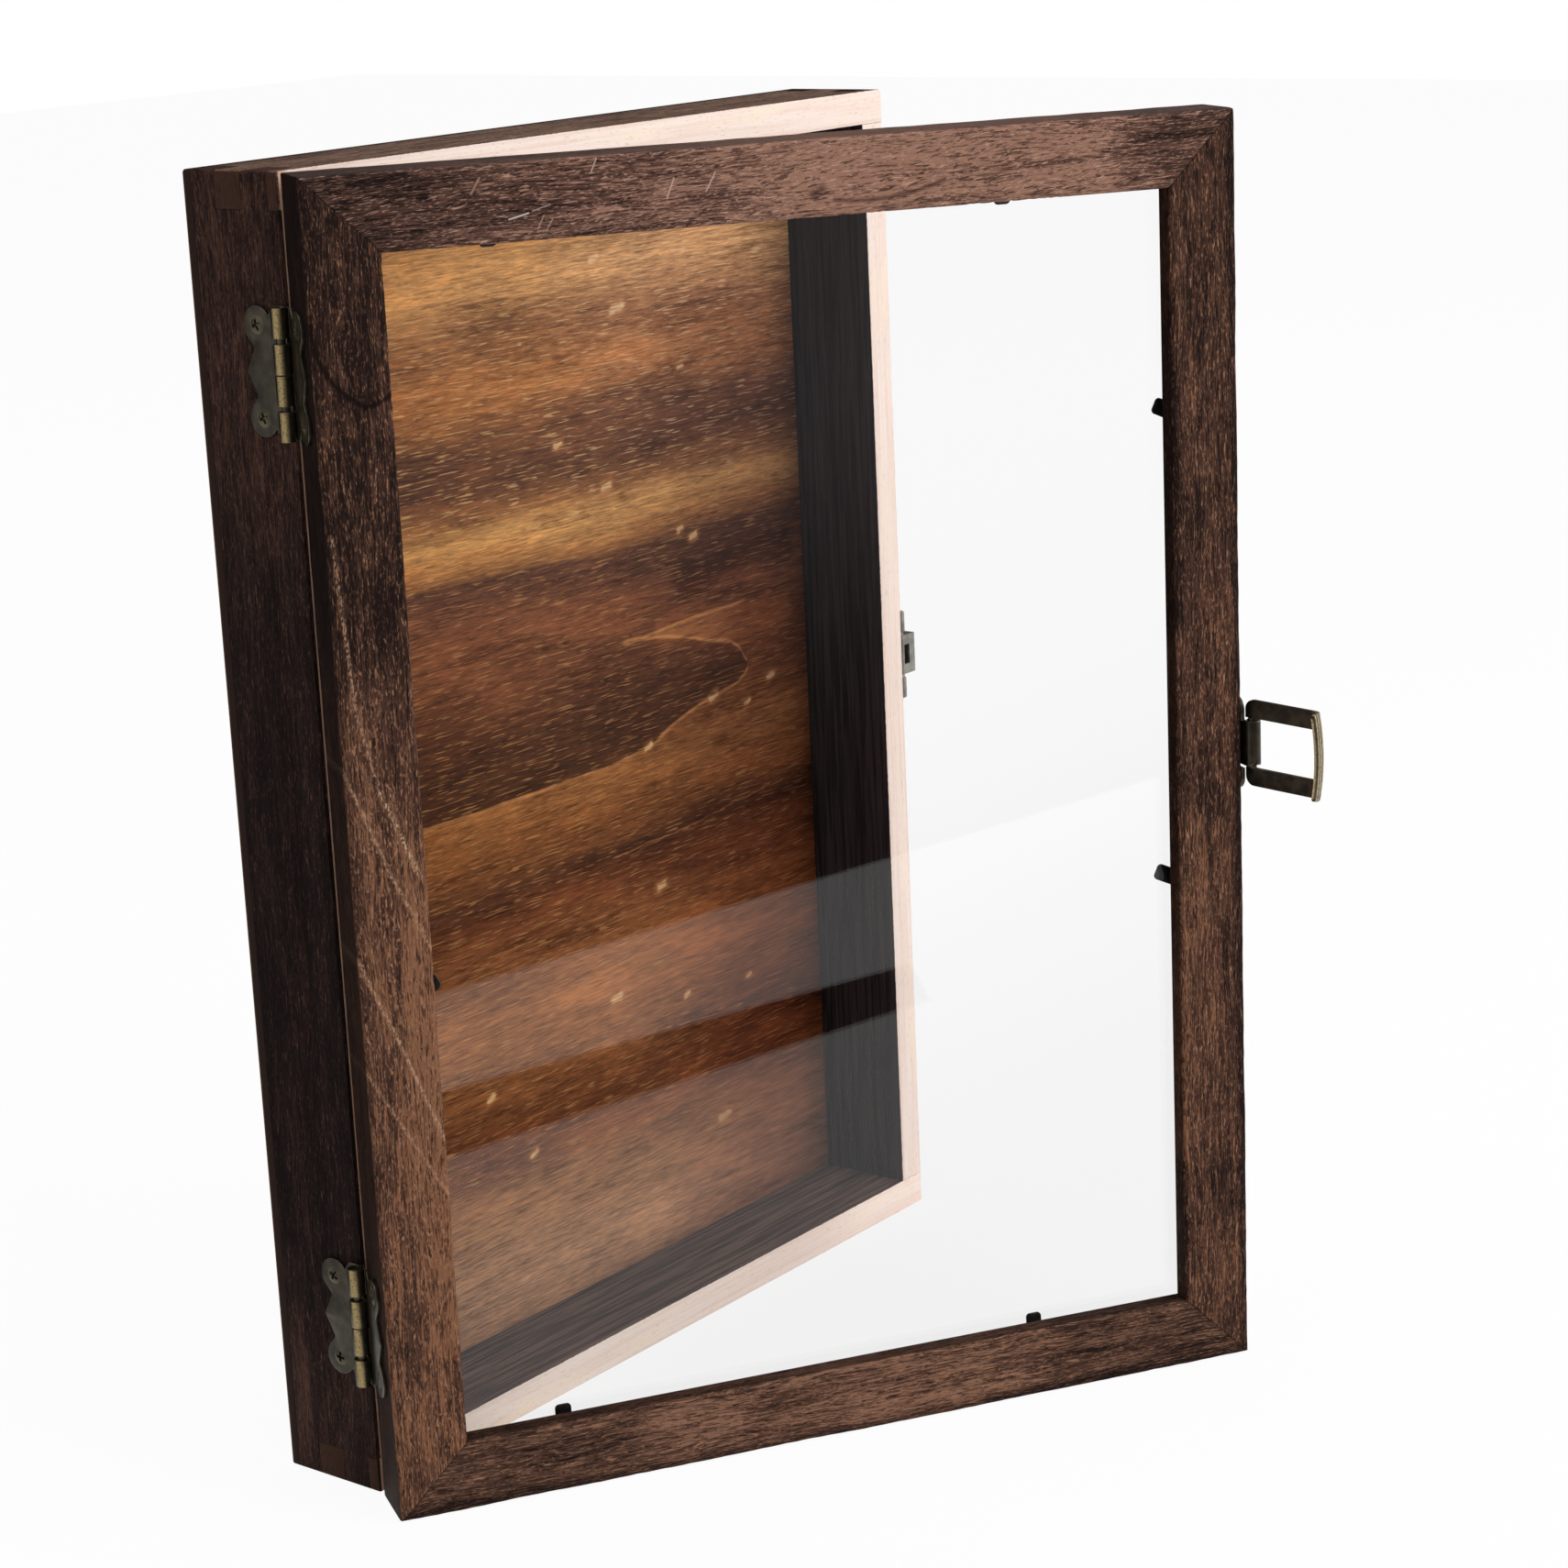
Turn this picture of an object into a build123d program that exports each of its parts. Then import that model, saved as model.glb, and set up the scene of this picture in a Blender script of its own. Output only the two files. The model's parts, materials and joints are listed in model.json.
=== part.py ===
from build123d import *
import os

os.makedirs("parts", exist_ok=True)

# Collector display case: a shallow finger-jointed box with a glazed, mitred door
# on two butterfly hinges, held shut by a swinging ring over a nose.
# All sizes are in millimetres. X runs across the case, Y from front to back, Z up.
# The origin is on the underside of the case, in the middle of its width and depth.

# Case
case_width = 217.0
case_height = 305.0
board_depth = 26.0
board_thickness = 8.3
panel_thickness = 2.6
case_edge_round = 0.8
panel_edge = 0.25

# Finger joints: a narrow finger at the front, then full ones
front_finger = 3.0
finger_width = 8.0

# Door frame
door_thickness = 16.0
member_width = 17.0
lip_thickness = 5.3
rebate_width = 5.0
front_edge_round = 1.2
sight_edge_round = 0.9
back_edge_round = 0.6
seam_gap = 0.8

# Glass and the tabs behind it
glass_thickness = 2.0
glass_clearance = 0.4
glass_arris = 0.25
tab_clearance = 0.05
tab_thickness = 0.5
tab_width = 3.9
tab_grip = 6.0
tab_corner = 1.0
tab_bend_start = 1.2
tab_bend_radius = 1.0
tab_bend = 6.0
low_tab_reach = 8.4
high_tab_reach = 6.8
rail_tab_reach = 6.3
side_tab_tilt = 25.0
side_tab_from_bottom = 122.0
side_tab_from_top = 70.0
rail_tab_from_left = 42.0
rail_tab_from_right = 55.0

# Butterfly hinges
hinge_inset = 42.8
leaf_thickness = 0.8
barrel_height = 28.8
barrel_radius = 2.0
barrel_lift = 0.3
hinge_pin_radius = 1.15
pin_play = 0.05
knuckle_gap = 0.3
pin_window = 1.3
pin_recess = 0.5
roll_slit = 0.35
roll_web = 0.1
shoulder_reach = 3.6
lobe_reach = 8.7
lobe_rise = 10.15
lobe_radius = 4.1
lobe_start = -148.0
lobe_sweep = 192.0
waist_reach = 9.9
waist_rise = 5.3
waist_round = 0.9
tip_reach = 12.7

# Screws
screw_head_radius = 1.9
screw_shank_radius = 1.1
screw_length = 7.4
recess_width = 0.55
recess_length = 2.3
recess_depth = 0.65
wood_clearance = 0.02

# Latch on the door and catch on the case
latch_height = 155.8
plate_sheet = 0.9
latch_plate_height = 22.4
latch_plate_depth = 12.0
latch_plate_corner = 3.0
latch_plate_setback = 0.6
latch_screw_rise = 8.0
ring_pivot_out = 3.1
ring_pivot_back = 1.0
tongue_width = 10.9
tongue_slot = 0.4
tongue_root = 5.0
tongue_rise = 2.2
tongue_overlap = 0.8
tongue_roll = 285.0
tongue_corner = 1.2
ring_bar_radius = 1.02
ring_bar_play = 0.08
ring_sheet = 1.0
ring_heel = 1.7
ring_height = 21.0
ring_opening = 12.2
ring_corner = 2.4
ring_lip_radius = 2.6
ring_lip_angle = 80.0
ring_lip_tip = 2.1
ring_lip_corner = 1.2
catch_sheet = 1.0
catch_height = 23.8
catch_depth = 10.0
catch_corner = 0.6
catch_overhang = 0.45
catch_screw_rise = 8.6
nose_height = 10.6
nose_depth = 4.0
nose_out = 5.4
nose_wall = 0.8
nose_edge = 0.2
slot_height = 5.3
slot_width = 2.3
slot_from_wood = 0.55
relief_radius = 0.5
hook_play = 1.2

# Positions at rest, in degrees: how far the door stands open, and how far the
# ring has swung back from the catch
door_open = 31.9
ring_swung = 158.0

# Derived places
case_back = (board_depth + panel_thickness) / 2
case_front = -case_back
panel_front = case_front + board_depth
left_face = -case_width / 2
right_face = case_width / 2
door_back = case_front - seam_gap
door_front = door_back - door_thickness
hinge_x = left_face - barrel_radius - barrel_lift
hinge_y = case_front - seam_gap / 2
hinge_axis = Axis((hinge_x, hinge_y, 0), (0, 0, 1))
ring_x = right_face + ring_pivot_out
ring_y = door_front + ring_pivot_back
ring_axis = Axis((ring_x, ring_y, 0), (0, 0, 1))
hinge_heights = {"lower": hinge_inset, "upper": case_height - hinge_inset}


def opened(piece):
    # A door piece, turned from shut to its place at rest.
    return piece.rotate(hinge_axis, -door_open)


def screw_body(clearance):
    # The turned form of a countersunk screw, or of its hole, with the flat of the head at z = 0.
    head = screw_head_radius + clearance
    shank = screw_shank_radius + clearance
    with BuildPart() as body:
        with BuildSketch(Plane.XZ):
            with BuildLine():
                Polyline(
                    (0, 0),
                    (head, 0),
                    (shank, shank - head),
                    (shank, -screw_length - clearance),
                    (0, -screw_length - clearance),
                    close=True,
                )
            make_face()
        revolve(axis=Axis.Z)
    return body.part


screw_hole = screw_body(wood_clearance)
screw_blank = screw_body(0)
with BuildPart() as wood_screw:
    add(screw_blank)
    with BuildSketch():
        Rectangle(recess_length, recess_width)
        Rectangle(recess_width, recess_length)
    extrude(amount=-recess_depth, mode=Mode.SUBTRACT)


def screw_places(face_x, out, y, heights):
    # Screw seats on a side face: head towards out along X, shank into the wood.
    return [Plane((face_x, y, z), x_dir=(0, 0, 1), z_dir=(out, 0, 0)) for z in heights]


def screw_set(places):
    # Separate screws at the given seats.
    with BuildPart() as screws:
        for place in places:
            add(wood_screw.part.moved(place.location))
    return screws.part


def drill(places):
    # Holes for screws at the given seats, through every sheet and board that they cross.
    for place in places:
        add(screw_hole.moved(place.location), mode=Mode.SUBTRACT)


# Screw seats: two in each hinge leaf, two in the latch plate, two in the catch plate
case_leaf_screws = {}
door_leaf_screws = {}
for name, z in hinge_heights.items():
    rises = (z - lobe_rise, z + lobe_rise)
    leaf_face = left_face - leaf_thickness
    case_leaf_screws[name] = screw_places(leaf_face, -1, hinge_y + lobe_reach, rises)
    door_leaf_screws[name] = screw_places(leaf_face, -1, hinge_y - lobe_reach, rises)
latch_plate_front = door_front + latch_plate_setback
latch_plate_middle = latch_plate_front + latch_plate_depth / 2
latch_screws = screw_places(
    right_face + plate_sheet,
    1,
    latch_plate_middle,
    (latch_height - latch_screw_rise, latch_height + latch_screw_rise),
)
catch_front = case_front - catch_overhang
catch_middle = catch_front + catch_depth / 2
catch_screws = screw_places(
    right_face + catch_sheet,
    1,
    catch_middle,
    (latch_height - catch_screw_rise, latch_height + catch_screw_rise),
)

# The glued and drilled box before it is taken apart into its four boards
front_plane = Plane((0, case_front, case_height / 2), x_dir=(1, 0, 0), z_dir=(0, -1, 0))
with BuildPart() as carcass:
    with BuildSketch(front_plane):
        RectangleRounded(case_width, case_height, case_edge_round)
        Rectangle(
            case_width - 2 * board_thickness,
            case_height - 2 * board_thickness,
            mode=Mode.SUBTRACT,
        )
    extrude(amount=-board_depth)
    for places in case_leaf_screws.values():
        drill(places)
    drill(catch_screws)

finger_ends = [front_finger, front_finger + finger_width, front_finger + 2 * finger_width]
rail_fingers = [(0, finger_ends[0]), (finger_ends[1], finger_ends[2])]
side_fingers = [(finger_ends[0], finger_ends[1]), (finger_ends[2], board_depth)]


def case_board(middle, short_size, long_size, fingers):
    # One board of the box: its length between the neighbours over the whole depth,
    # and its full length where it has fingers.
    with BuildPart() as board:
        with BuildSketch(front_plane):
            with Locations(middle):
                Rectangle(*short_size)
        extrude(amount=-board_depth)
        for start, end in fingers:
            with BuildSketch(front_plane.offset(-start)):
                with Locations(middle):
                    Rectangle(*long_size)
            extrude(amount=start - end)
        add(carcass.part, mode=Mode.INTERSECT)
    return board.part


inner_width = case_width - 2 * board_thickness
inner_height = case_height - 2 * board_thickness
side_middle = (case_width - board_thickness) / 2
rail_middle = (case_height - board_thickness) / 2
rail_sizes = (inner_width, board_thickness), (case_width, board_thickness)
side_sizes = (board_thickness, inner_height), (board_thickness, case_height)
top_board = case_board((0, rail_middle), *rail_sizes, rail_fingers)
bottom_board = case_board((0, -rail_middle), *rail_sizes, rail_fingers)
left_board = case_board((-side_middle, 0), *side_sizes, side_fingers)
right_board = case_board((side_middle, 0), *side_sizes, side_fingers)

# Back panel, glued over the back edges of the boards
with BuildPart() as back_panel:
    with BuildSketch(front_plane.offset(-board_depth)):
        RectangleRounded(case_width, case_height, case_edge_round)
    extrude(amount=-panel_thickness)
    chamfer(back_panel.edges().group_by(Axis.Y)[-1], panel_edge)

# Tab seats in the rebate and how far each tab stands out: origin where the rebate wall meets
# the back of the glass, X into the opening and tilted up on the stiles, Z to the back
rebate_wall = member_width - rebate_width
tab_y = door_front + lip_thickness + glass_thickness + tab_clearance
tab_heights = (side_tab_from_bottom, case_height - side_tab_from_top)
tab_columns = (left_face + rail_tab_from_left, right_face - rail_tab_from_right)
tab_places = []
for side in (-1, 1):
    for z, reach in zip(tab_heights, (low_tab_reach, high_tab_reach)):
        root = (side * (right_face - rebate_wall), tab_y, z)
        inward = Vector(-side, 0, 0).rotate(Axis.Y, side * side_tab_tilt)
        tab_places.append((Plane(root, x_dir=inward, z_dir=(0, 1, 0)), reach))
for z, inward in ((rebate_wall, 1), (case_height - rebate_wall, -1)):
    for x in tab_columns:
        tab_places.append((Plane((x, tab_y, z), x_dir=(0, 0, inward), z_dir=(0, 1, 0)), rail_tab_reach))


def glazing_tab(reach):
    # A steel tab lying on XY with its root at -X and its free end bent up from the glass.
    with BuildPart() as tab:
        with BuildSketch(Plane.XZ):
            with BuildLine():
                grip = Line((-tab_grip, 0), (tab_bend_start, 0))
                turn = JernArc(grip @ 1, grip % 1, tab_bend_radius, tab_bend)
                Line(turn @ 1, turn @ 1 + (turn % 1) * (reach - tab_bend_start))
                offset(amount=tab_thickness, side=Side.LEFT)
            make_face()
        extrude(amount=tab_width / 2, both=True)
        with BuildSketch(Plane.XY) as outline:
            with Locations(((reach - tab_grip) / 2, 0)):
                Rectangle(tab_grip + reach, tab_width)
            fillet(outline.vertices().group_by(Axis.X)[-1], tab_corner)
        extrude(amount=reach, both=True, mode=Mode.INTERSECT)
    return tab.part


with BuildPart() as glazing_tabs:
    for place, reach in tab_places:
        add(glazing_tab(reach).moved(place.location))

# Door frame: four rebated members, mitred at the corners, all with the same section
door_screws = [place for places in door_leaf_screws.values() for place in places] + latch_screws
slot_middle = Location(((tab_bend_start - tab_grip) / 2, 0, tab_thickness / 2))
tab_slots = [place.location * slot_middle for place, reach in tab_places]


def door_member(corner, inward, along, length):
    # A member whose outer front edge starts at the given corner of the door.
    start, inward, along = Vector(corner), Vector(inward), Vector(along)
    with BuildPart() as member:
        with BuildSketch(Plane(start, x_dir=inward, z_dir=along)) as section:
            with BuildLine():
                Polyline(
                    (0, 0),
                    (member_width, 0),
                    (member_width, lip_thickness),
                    (rebate_wall, lip_thickness),
                    (rebate_wall, door_thickness),
                    (0, door_thickness),
                    close=True,
                )
            make_face()
            front_corners = section.vertices().group_by(Axis.Y)[0].sort_by(Axis.X)
            back_corners = section.vertices().group_by(Axis.Y)[-1].sort_by(Axis.X)
            fillet(front_corners[0], front_edge_round)
            fillet(front_corners[-1], sight_edge_round)
            fillet(back_corners[0], back_edge_round)
        extrude(amount=length)
        split(bisect_by=Plane(start, z_dir=along - inward))
        split(bisect_by=Plane(start + along * length, z_dir=-along - inward))
        drill(door_screws)
        with Locations(*tab_slots):
            Box(
                tab_grip + tab_bend_start + 2 * wood_clearance,
                tab_width + 2 * wood_clearance,
                tab_thickness + 2 * wood_clearance,
                mode=Mode.SUBTRACT,
            )
    return member.part


left_stile = door_member((left_face, door_front, 0), (1, 0, 0), (0, 0, 1), case_height)
right_stile = door_member((right_face, door_front, case_height), (-1, 0, 0), (0, 0, -1), case_height)
top_rail = door_member((left_face, door_front, case_height), (0, 0, -1), (1, 0, 0), case_width)
bottom_rail = door_member((right_face, door_front, 0), (0, 0, 1), (-1, 0, 0), case_width)

# Glass pane, lying against the back of the front lip
glass_margin = 2 * (rebate_wall + glass_clearance)
with BuildPart() as glass_pane:
    with BuildSketch(front_plane.offset(seam_gap + door_thickness - lip_thickness)):
        Rectangle(case_width - glass_margin, case_height - glass_margin)
    extrude(amount=-glass_thickness)
    chamfer(glass_pane.edges(), glass_arris)

# Butterfly hinges
flat_start = barrel_radius + barrel_lift
half_barrel = barrel_height / 2
pair_height = (barrel_height - knuckle_gap) / 2
knuckle_height = (pair_height - pin_window) / 2
door_feet = (0, pair_height + knuckle_gap)
case_feet = [foot + knuckle_height + pin_window for foot in door_feet]


def hinge_leaf(side, z, feet, bore, screws):
    # One butterfly leaf and its two rolled knuckles. Side is 1 over the case, -1 over the door;
    # feet are the heights of the knuckles above the bottom of the barrel.
    with BuildPart() as leaf:
        with BuildSketch(Plane((left_face, hinge_y, z), x_dir=(0, side, 0), z_dir=(-1, 0, 0))):
            with BuildLine():
                lobe = CenterArc((lobe_reach, -lobe_rise), lobe_radius, lobe_start, lobe_sweep)
                Polyline((flat_start, -half_barrel), (shoulder_reach, -half_barrel), lobe @ 0)
                mirror(about=Plane.XZ)
                FilletPolyline(
                    lobe @ 1,
                    (waist_reach, -waist_rise),
                    (tip_reach, 0),
                    (waist_reach, waist_rise),
                    ((lobe @ 1).X, -(lobe @ 1).Y),
                    radius=waist_round,
                )
                Line((flat_start, -half_barrel), (flat_start, half_barrel))
            make_face()
        extrude(amount=leaf_thickness)
        drill(screws)
        for foot in feet:
            level = z - half_barrel + foot
            with BuildSketch(Plane((hinge_x, hinge_y, level), x_dir=(0, side, 0), z_dir=(0, 0, side))):
                Circle(barrel_radius)
                with BuildLine():
                    Polyline(
                        (0, -barrel_radius),
                        (flat_start, -flat_start),
                        (flat_start, leaf_thickness - flat_start),
                        (0, leaf_thickness - flat_start),
                        close=True,
                    )
                make_face()
                Circle(bore, mode=Mode.SUBTRACT)
                with Locations((flat_start / 2, leaf_thickness - flat_start + roll_slit / 2)):
                    Rectangle(flat_start - 2 * roll_web, roll_slit, mode=Mode.SUBTRACT)
            extrude(amount=side * knuckle_height)
    return leaf.part


def hinge_pin(z):
    # The fixed pin of one hinge, sunk a little in the ends of its barrel.
    length = barrel_height - 2 * pin_recess
    with BuildPart() as pin:
        with BuildSketch(Plane((hinge_x, hinge_y, z - length / 2))):
            Circle(hinge_pin_radius)
        extrude(amount=length)
    return pin.part


# Latch plate on the edge of the door, with a tongue rolled around the bar of the ring
roll_radius = ring_bar_radius + ring_bar_play + plate_sheet
roll_lift = ring_pivot_out - roll_radius
latch_plane = Plane((right_face, latch_plate_middle, latch_height), x_dir=(0, 1, 0), z_dir=(1, 0, 0))
tongue_foot = latch_height - tongue_width / 2
tongue_end = tongue_root + tongue_overlap
with BuildPart() as tongue:
    with BuildSketch(Plane((right_face, ring_y, tongue_foot), x_dir=(0, -1, 0), z_dir=(0, 0, 1))):
        with BuildLine():
            root = (-tongue_end, 0)
            under = Polyline(root, (-tongue_root, 0), (-tongue_rise, roll_lift), (0, roll_lift))
            outside = JernArc(under @ 1, (1, 0), roll_radius, tongue_roll)
            inside = JernArc((0, roll_lift + plate_sheet), (1, 0), roll_radius - plate_sheet, tongue_roll)
            Line(outside @ 1, inside @ 1)
            Polyline(
                inside @ 0,
                (-tongue_rise, roll_lift + plate_sheet),
                (-tongue_root, plate_sheet),
                (-tongue_end, plate_sheet),
                root,
            )
        make_face()
    extrude(amount=tongue_width)
    with BuildSketch(Plane((right_face, ring_y, latch_height), x_dir=(0, 1, 0), z_dir=(1, 0, 0))) as outline:
        with Locations(((tongue_end - roll_radius) / 2, 0)):
            Rectangle(tongue_end + roll_radius, tongue_width)
        fillet(outline.vertices().group_by(Axis.Y)[0], tongue_corner)
    extrude(amount=ring_pivot_out + roll_radius, mode=Mode.INTERSECT)

with BuildPart() as latch_plate:
    with BuildSketch(latch_plane):
        RectangleRounded(latch_plate_depth, latch_plate_height, latch_plate_corner)
    extrude(amount=plate_sheet)
    drill(latch_screws)
    with BuildSketch(latch_plane):
        with Locations((-latch_plate_depth / 2, 0)):
            Rectangle(2 * (ring_y + tongue_root - latch_plate_front), tongue_width + 2 * tongue_slot)
    extrude(amount=plate_sheet, mode=Mode.SUBTRACT)
    add(tongue.part)

# Swinging ring, modelled hooked over the nose: a flat sheet with a window, a round bar
# at its pivot and a turned-up lip at its free end
window_end = catch_front + nose_depth + hook_play - ring_y
lip_start = window_end + ring_sheet - ring_lip_radius
ring_origin = Vector(ring_x, ring_y, latch_height)
with BuildPart() as latch_ring:
    with BuildSketch(Plane(ring_origin, x_dir=(0, 1, 0), z_dir=(0, 0, -1))):
        with BuildLine():
            flat = Line((-ring_heel, -ring_sheet / 2), (lip_start, -ring_sheet / 2))
            lip = JernArc(flat @ 1, flat % 1, ring_lip_radius, ring_lip_angle)
            Line(lip @ 1, lip @ 1 + (lip % 1) * ring_lip_tip)
            offset(amount=ring_sheet, side=Side.LEFT)
        make_face()
    extrude(amount=ring_height / 2, both=True)
    fillet(latch_ring.edges().filter_by(Axis.X).group_by(Axis.Y)[0], ring_corner)
    lip_end = latch_ring.faces().sort_by(Axis.X)[-1]
    fillet(lip_end.edges().sort_by(SortBy.LENGTH)[:2], ring_lip_corner)
    with BuildSketch(Plane(ring_origin, x_dir=(0, 1, 0), z_dir=(1, 0, 0))):
        with Locations((window_end / 2 - ring_bar_radius, 0)):
            Rectangle(window_end + 2 * ring_bar_radius, ring_opening)
    extrude(amount=ring_height / 2, both=True, mode=Mode.SUBTRACT)
    with BuildSketch(Plane(ring_origin)):
        Circle(ring_bar_radius)
    extrude(amount=ring_opening / 2, both=True)

# Catch on the side of the case: a plate with a hollow nose that has a slot in its front
catch_plane = Plane((right_face, catch_middle, latch_height), x_dir=(0, 1, 0), z_dir=(1, 0, 0))
nose_middle = ((nose_depth - catch_depth) / 2, 0)
with BuildPart() as catch:
    with BuildSketch(catch_plane):
        RectangleRounded(catch_depth, catch_height, catch_corner)
    extrude(amount=catch_sheet)
    with BuildSketch(catch_plane):
        with Locations(nose_middle):
            Rectangle(nose_depth, nose_height)
    extrude(amount=nose_out)
    chamfer(catch.faces().sort_by(Axis.X)[-1].edges(), nose_edge)
    with BuildSketch(catch_plane):
        with Locations(nose_middle):
            Rectangle(nose_depth - 2 * nose_wall, nose_height - 2 * nose_wall)
    extrude(amount=nose_out - nose_wall, mode=Mode.SUBTRACT)
    slot_middle_x = right_face + slot_from_wood + slot_width / 2
    with BuildSketch(Plane((slot_middle_x, catch_front, latch_height), x_dir=(1, 0, 0), z_dir=(0, -1, 0))):
        Rectangle(slot_width, slot_height)
    extrude(amount=-nose_wall, mode=Mode.SUBTRACT)
    with BuildSketch(catch_plane):
        with GridLocations(0, nose_height + 2 * relief_radius, 1, 2):
            with Locations((-catch_depth / 2, 0)):
                Circle(relief_radius)
    extrude(amount=catch_sheet, mode=Mode.SUBTRACT)
    drill(catch_screws)

# Everything in its place at rest, with the door open and the ring swung back
pieces = {
    "case_top_board": top_board,
    "case_bottom_board": bottom_board,
    "case_left_board": left_board,
    "case_right_board": right_board,
    "back_panel": back_panel.part,
    "door_top_rail": opened(top_rail),
    "door_bottom_rail": opened(bottom_rail),
    "door_left_stile": opened(left_stile),
    "door_right_stile": opened(right_stile),
    "glass_pane": opened(glass_pane.part),
    "glazing_tabs": opened(glazing_tabs.part),
    "latch_plate": opened(latch_plate.part),
    "latch_plate_screws": opened(screw_set(latch_screws)),
    "latch_ring": opened(latch_ring.part.rotate(ring_axis, -ring_swung)),
    "latch_catch": catch.part,
    "latch_catch_screws": screw_set(catch_screws),
}
for name, z in hinge_heights.items():
    case_bore = hinge_pin_radius + wood_clearance
    door_bore = hinge_pin_radius + pin_play
    pieces[name + "_hinge_case_leaf"] = hinge_leaf(1, z, case_feet, case_bore, case_leaf_screws[name])
    pieces[name + "_hinge_door_leaf"] = opened(
        hinge_leaf(-1, z, door_feet, door_bore, door_leaf_screws[name])
    )
    pieces[name + "_hinge_pin"] = hinge_pin(z)
    pieces[name + "_hinge_case_screws"] = screw_set(case_leaf_screws[name])
    pieces[name + "_hinge_door_screws"] = opened(screw_set(door_leaf_screws[name]))

for name, piece in pieces.items():
    piece.label = name
    export_step(piece, "parts/" + name + ".step")
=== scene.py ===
import bpy
import bmesh
import json
import math
import numpy as np
from mathutils import Matrix, Vector

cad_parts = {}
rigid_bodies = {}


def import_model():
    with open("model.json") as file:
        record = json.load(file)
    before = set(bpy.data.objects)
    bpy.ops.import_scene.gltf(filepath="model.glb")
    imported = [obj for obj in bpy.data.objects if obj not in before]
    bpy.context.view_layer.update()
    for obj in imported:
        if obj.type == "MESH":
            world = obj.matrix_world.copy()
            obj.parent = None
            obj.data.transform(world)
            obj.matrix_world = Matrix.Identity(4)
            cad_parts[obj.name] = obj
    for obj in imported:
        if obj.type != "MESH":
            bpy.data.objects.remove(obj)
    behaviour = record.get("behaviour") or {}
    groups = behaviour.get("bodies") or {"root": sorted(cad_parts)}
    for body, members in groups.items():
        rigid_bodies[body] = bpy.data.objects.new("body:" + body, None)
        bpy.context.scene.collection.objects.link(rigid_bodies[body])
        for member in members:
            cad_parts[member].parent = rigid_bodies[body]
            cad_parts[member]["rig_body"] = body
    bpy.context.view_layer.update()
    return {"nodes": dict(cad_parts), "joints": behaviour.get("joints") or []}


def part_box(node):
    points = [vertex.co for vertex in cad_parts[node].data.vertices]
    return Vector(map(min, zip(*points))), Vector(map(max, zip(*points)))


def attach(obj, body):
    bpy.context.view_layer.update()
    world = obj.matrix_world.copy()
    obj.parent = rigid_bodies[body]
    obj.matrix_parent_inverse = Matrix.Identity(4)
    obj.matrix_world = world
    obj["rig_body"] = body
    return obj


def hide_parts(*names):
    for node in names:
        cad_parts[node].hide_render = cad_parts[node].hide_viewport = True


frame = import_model()
nodes = frame["nodes"]
mm = 0.001

# The two joints give the door's turn at rest and the places of both pivots
doorJoint = next(j for j in frame["joints"] if j["child"] == "door")
ringJoint = next(j for j in frame["joints"] if j["child"] == "latch_ring")
doorTurn = math.radians(doorJoint["range_deg"][0])
doorPivot = Vector(doorJoint["pos_m"])
ringPivot = Vector(ringJoint["pos_m"])
ringTurn = math.pi / 2 - math.radians(ringJoint["range_deg"][1]) + doorTurn
ringAlong = Vector((math.cos(ringTurn), math.sin(ringTurn), 0))
ringUp = Vector((math.sin(ringTurn), -math.cos(ringTurn), 0))
panelLow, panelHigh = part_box("back_panel")
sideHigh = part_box("case_right_board")[1]
caseHalf, caseTop, caseFront = sideHigh.x, panelHigh.z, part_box("case_top_board")[0].y
print("frame loaded:", len(nodes), "nodes")


cameraValues = {
    "place": (-0.645224, -0.568307, 0.367814),
    "right": (0.610550, -0.790762, -0.043858),
    "up": (0.227849, 0.122347, 0.965979),
    "lens": 82.07,
}


def linked(name, data):
    made = bpy.data.objects.new(name, data)
    bpy.context.scene.collection.objects.link(made)
    return made


def makeCamera(values):
    right, up = Vector(values["right"]).normalized(), Vector(values["up"]).normalized()
    back = right.cross(up).normalized()
    data = bpy.data.cameras.new("photoCamera")
    data.lens, data.sensor_width = values["lens"], 36.0
    data.clip_start, data.clip_end = 0.01, 50.0
    camera = linked("photoCamera", data)
    turn = Matrix((right, back.cross(right), back)).transposed().to_4x4()
    camera.matrix_world = Matrix.Translation(values["place"]) @ turn
    bpy.context.scene.camera = camera


makeCamera(cameraValues)


def tone(red, green, blue):
    # Screen values from 0 to 255 as the linear colour that a shader takes
    share = np.array((red, green, blue)) / 255
    linear = np.where(share <= 0.04045, share / 12.92, ((share + 0.055) / 1.055) ** 2.4)
    return (*(float(v) for v in linear), 1.0)


class Wire:
    # A node's socket, whose sums and products make Math nodes, or Vector Math ones for vectors
    def __init__(self, tree, socket):
        self.tree, self.socket = tree, socket

    def __add__(self, other):
        return calc("ADD", self, other)

    def __sub__(self, other):
        return calc("SUBTRACT", self, other)

    def __rsub__(self, other):
        return calc("SUBTRACT", other, self)

    def __mul__(self, other):
        return calc("MULTIPLY", self, other)

    def __truediv__(self, other):
        return calc("DIVIDE", self, other)

    def __abs__(self):
        return calc("ABSOLUTE", self)

    __radd__, __rmul__ = __add__, __mul__


class Made:
    # A node whose outputs come as wires, by number or by name
    def __init__(self, tree, node):
        self.tree, self.node = tree, node

    def __getitem__(self, key):
        return Wire(self.tree, self.node.outputs[key])


def put(socket, value):
    value = getattr(value, "socket", value)
    if isinstance(value, bpy.types.NodeSocket):
        socket.id_data.links.new(value, socket)
    else:
        socket.default_value = value


def addNode(tree, kind, inputs=None, **settings):
    node = tree.nodes.new("ShaderNode" + kind)
    for key, value in settings.items():
        setattr(node, key, value)
    for key, value in (inputs or {}).items():
        put(node.inputs[key], value)
    return Made(tree, node)


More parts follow.
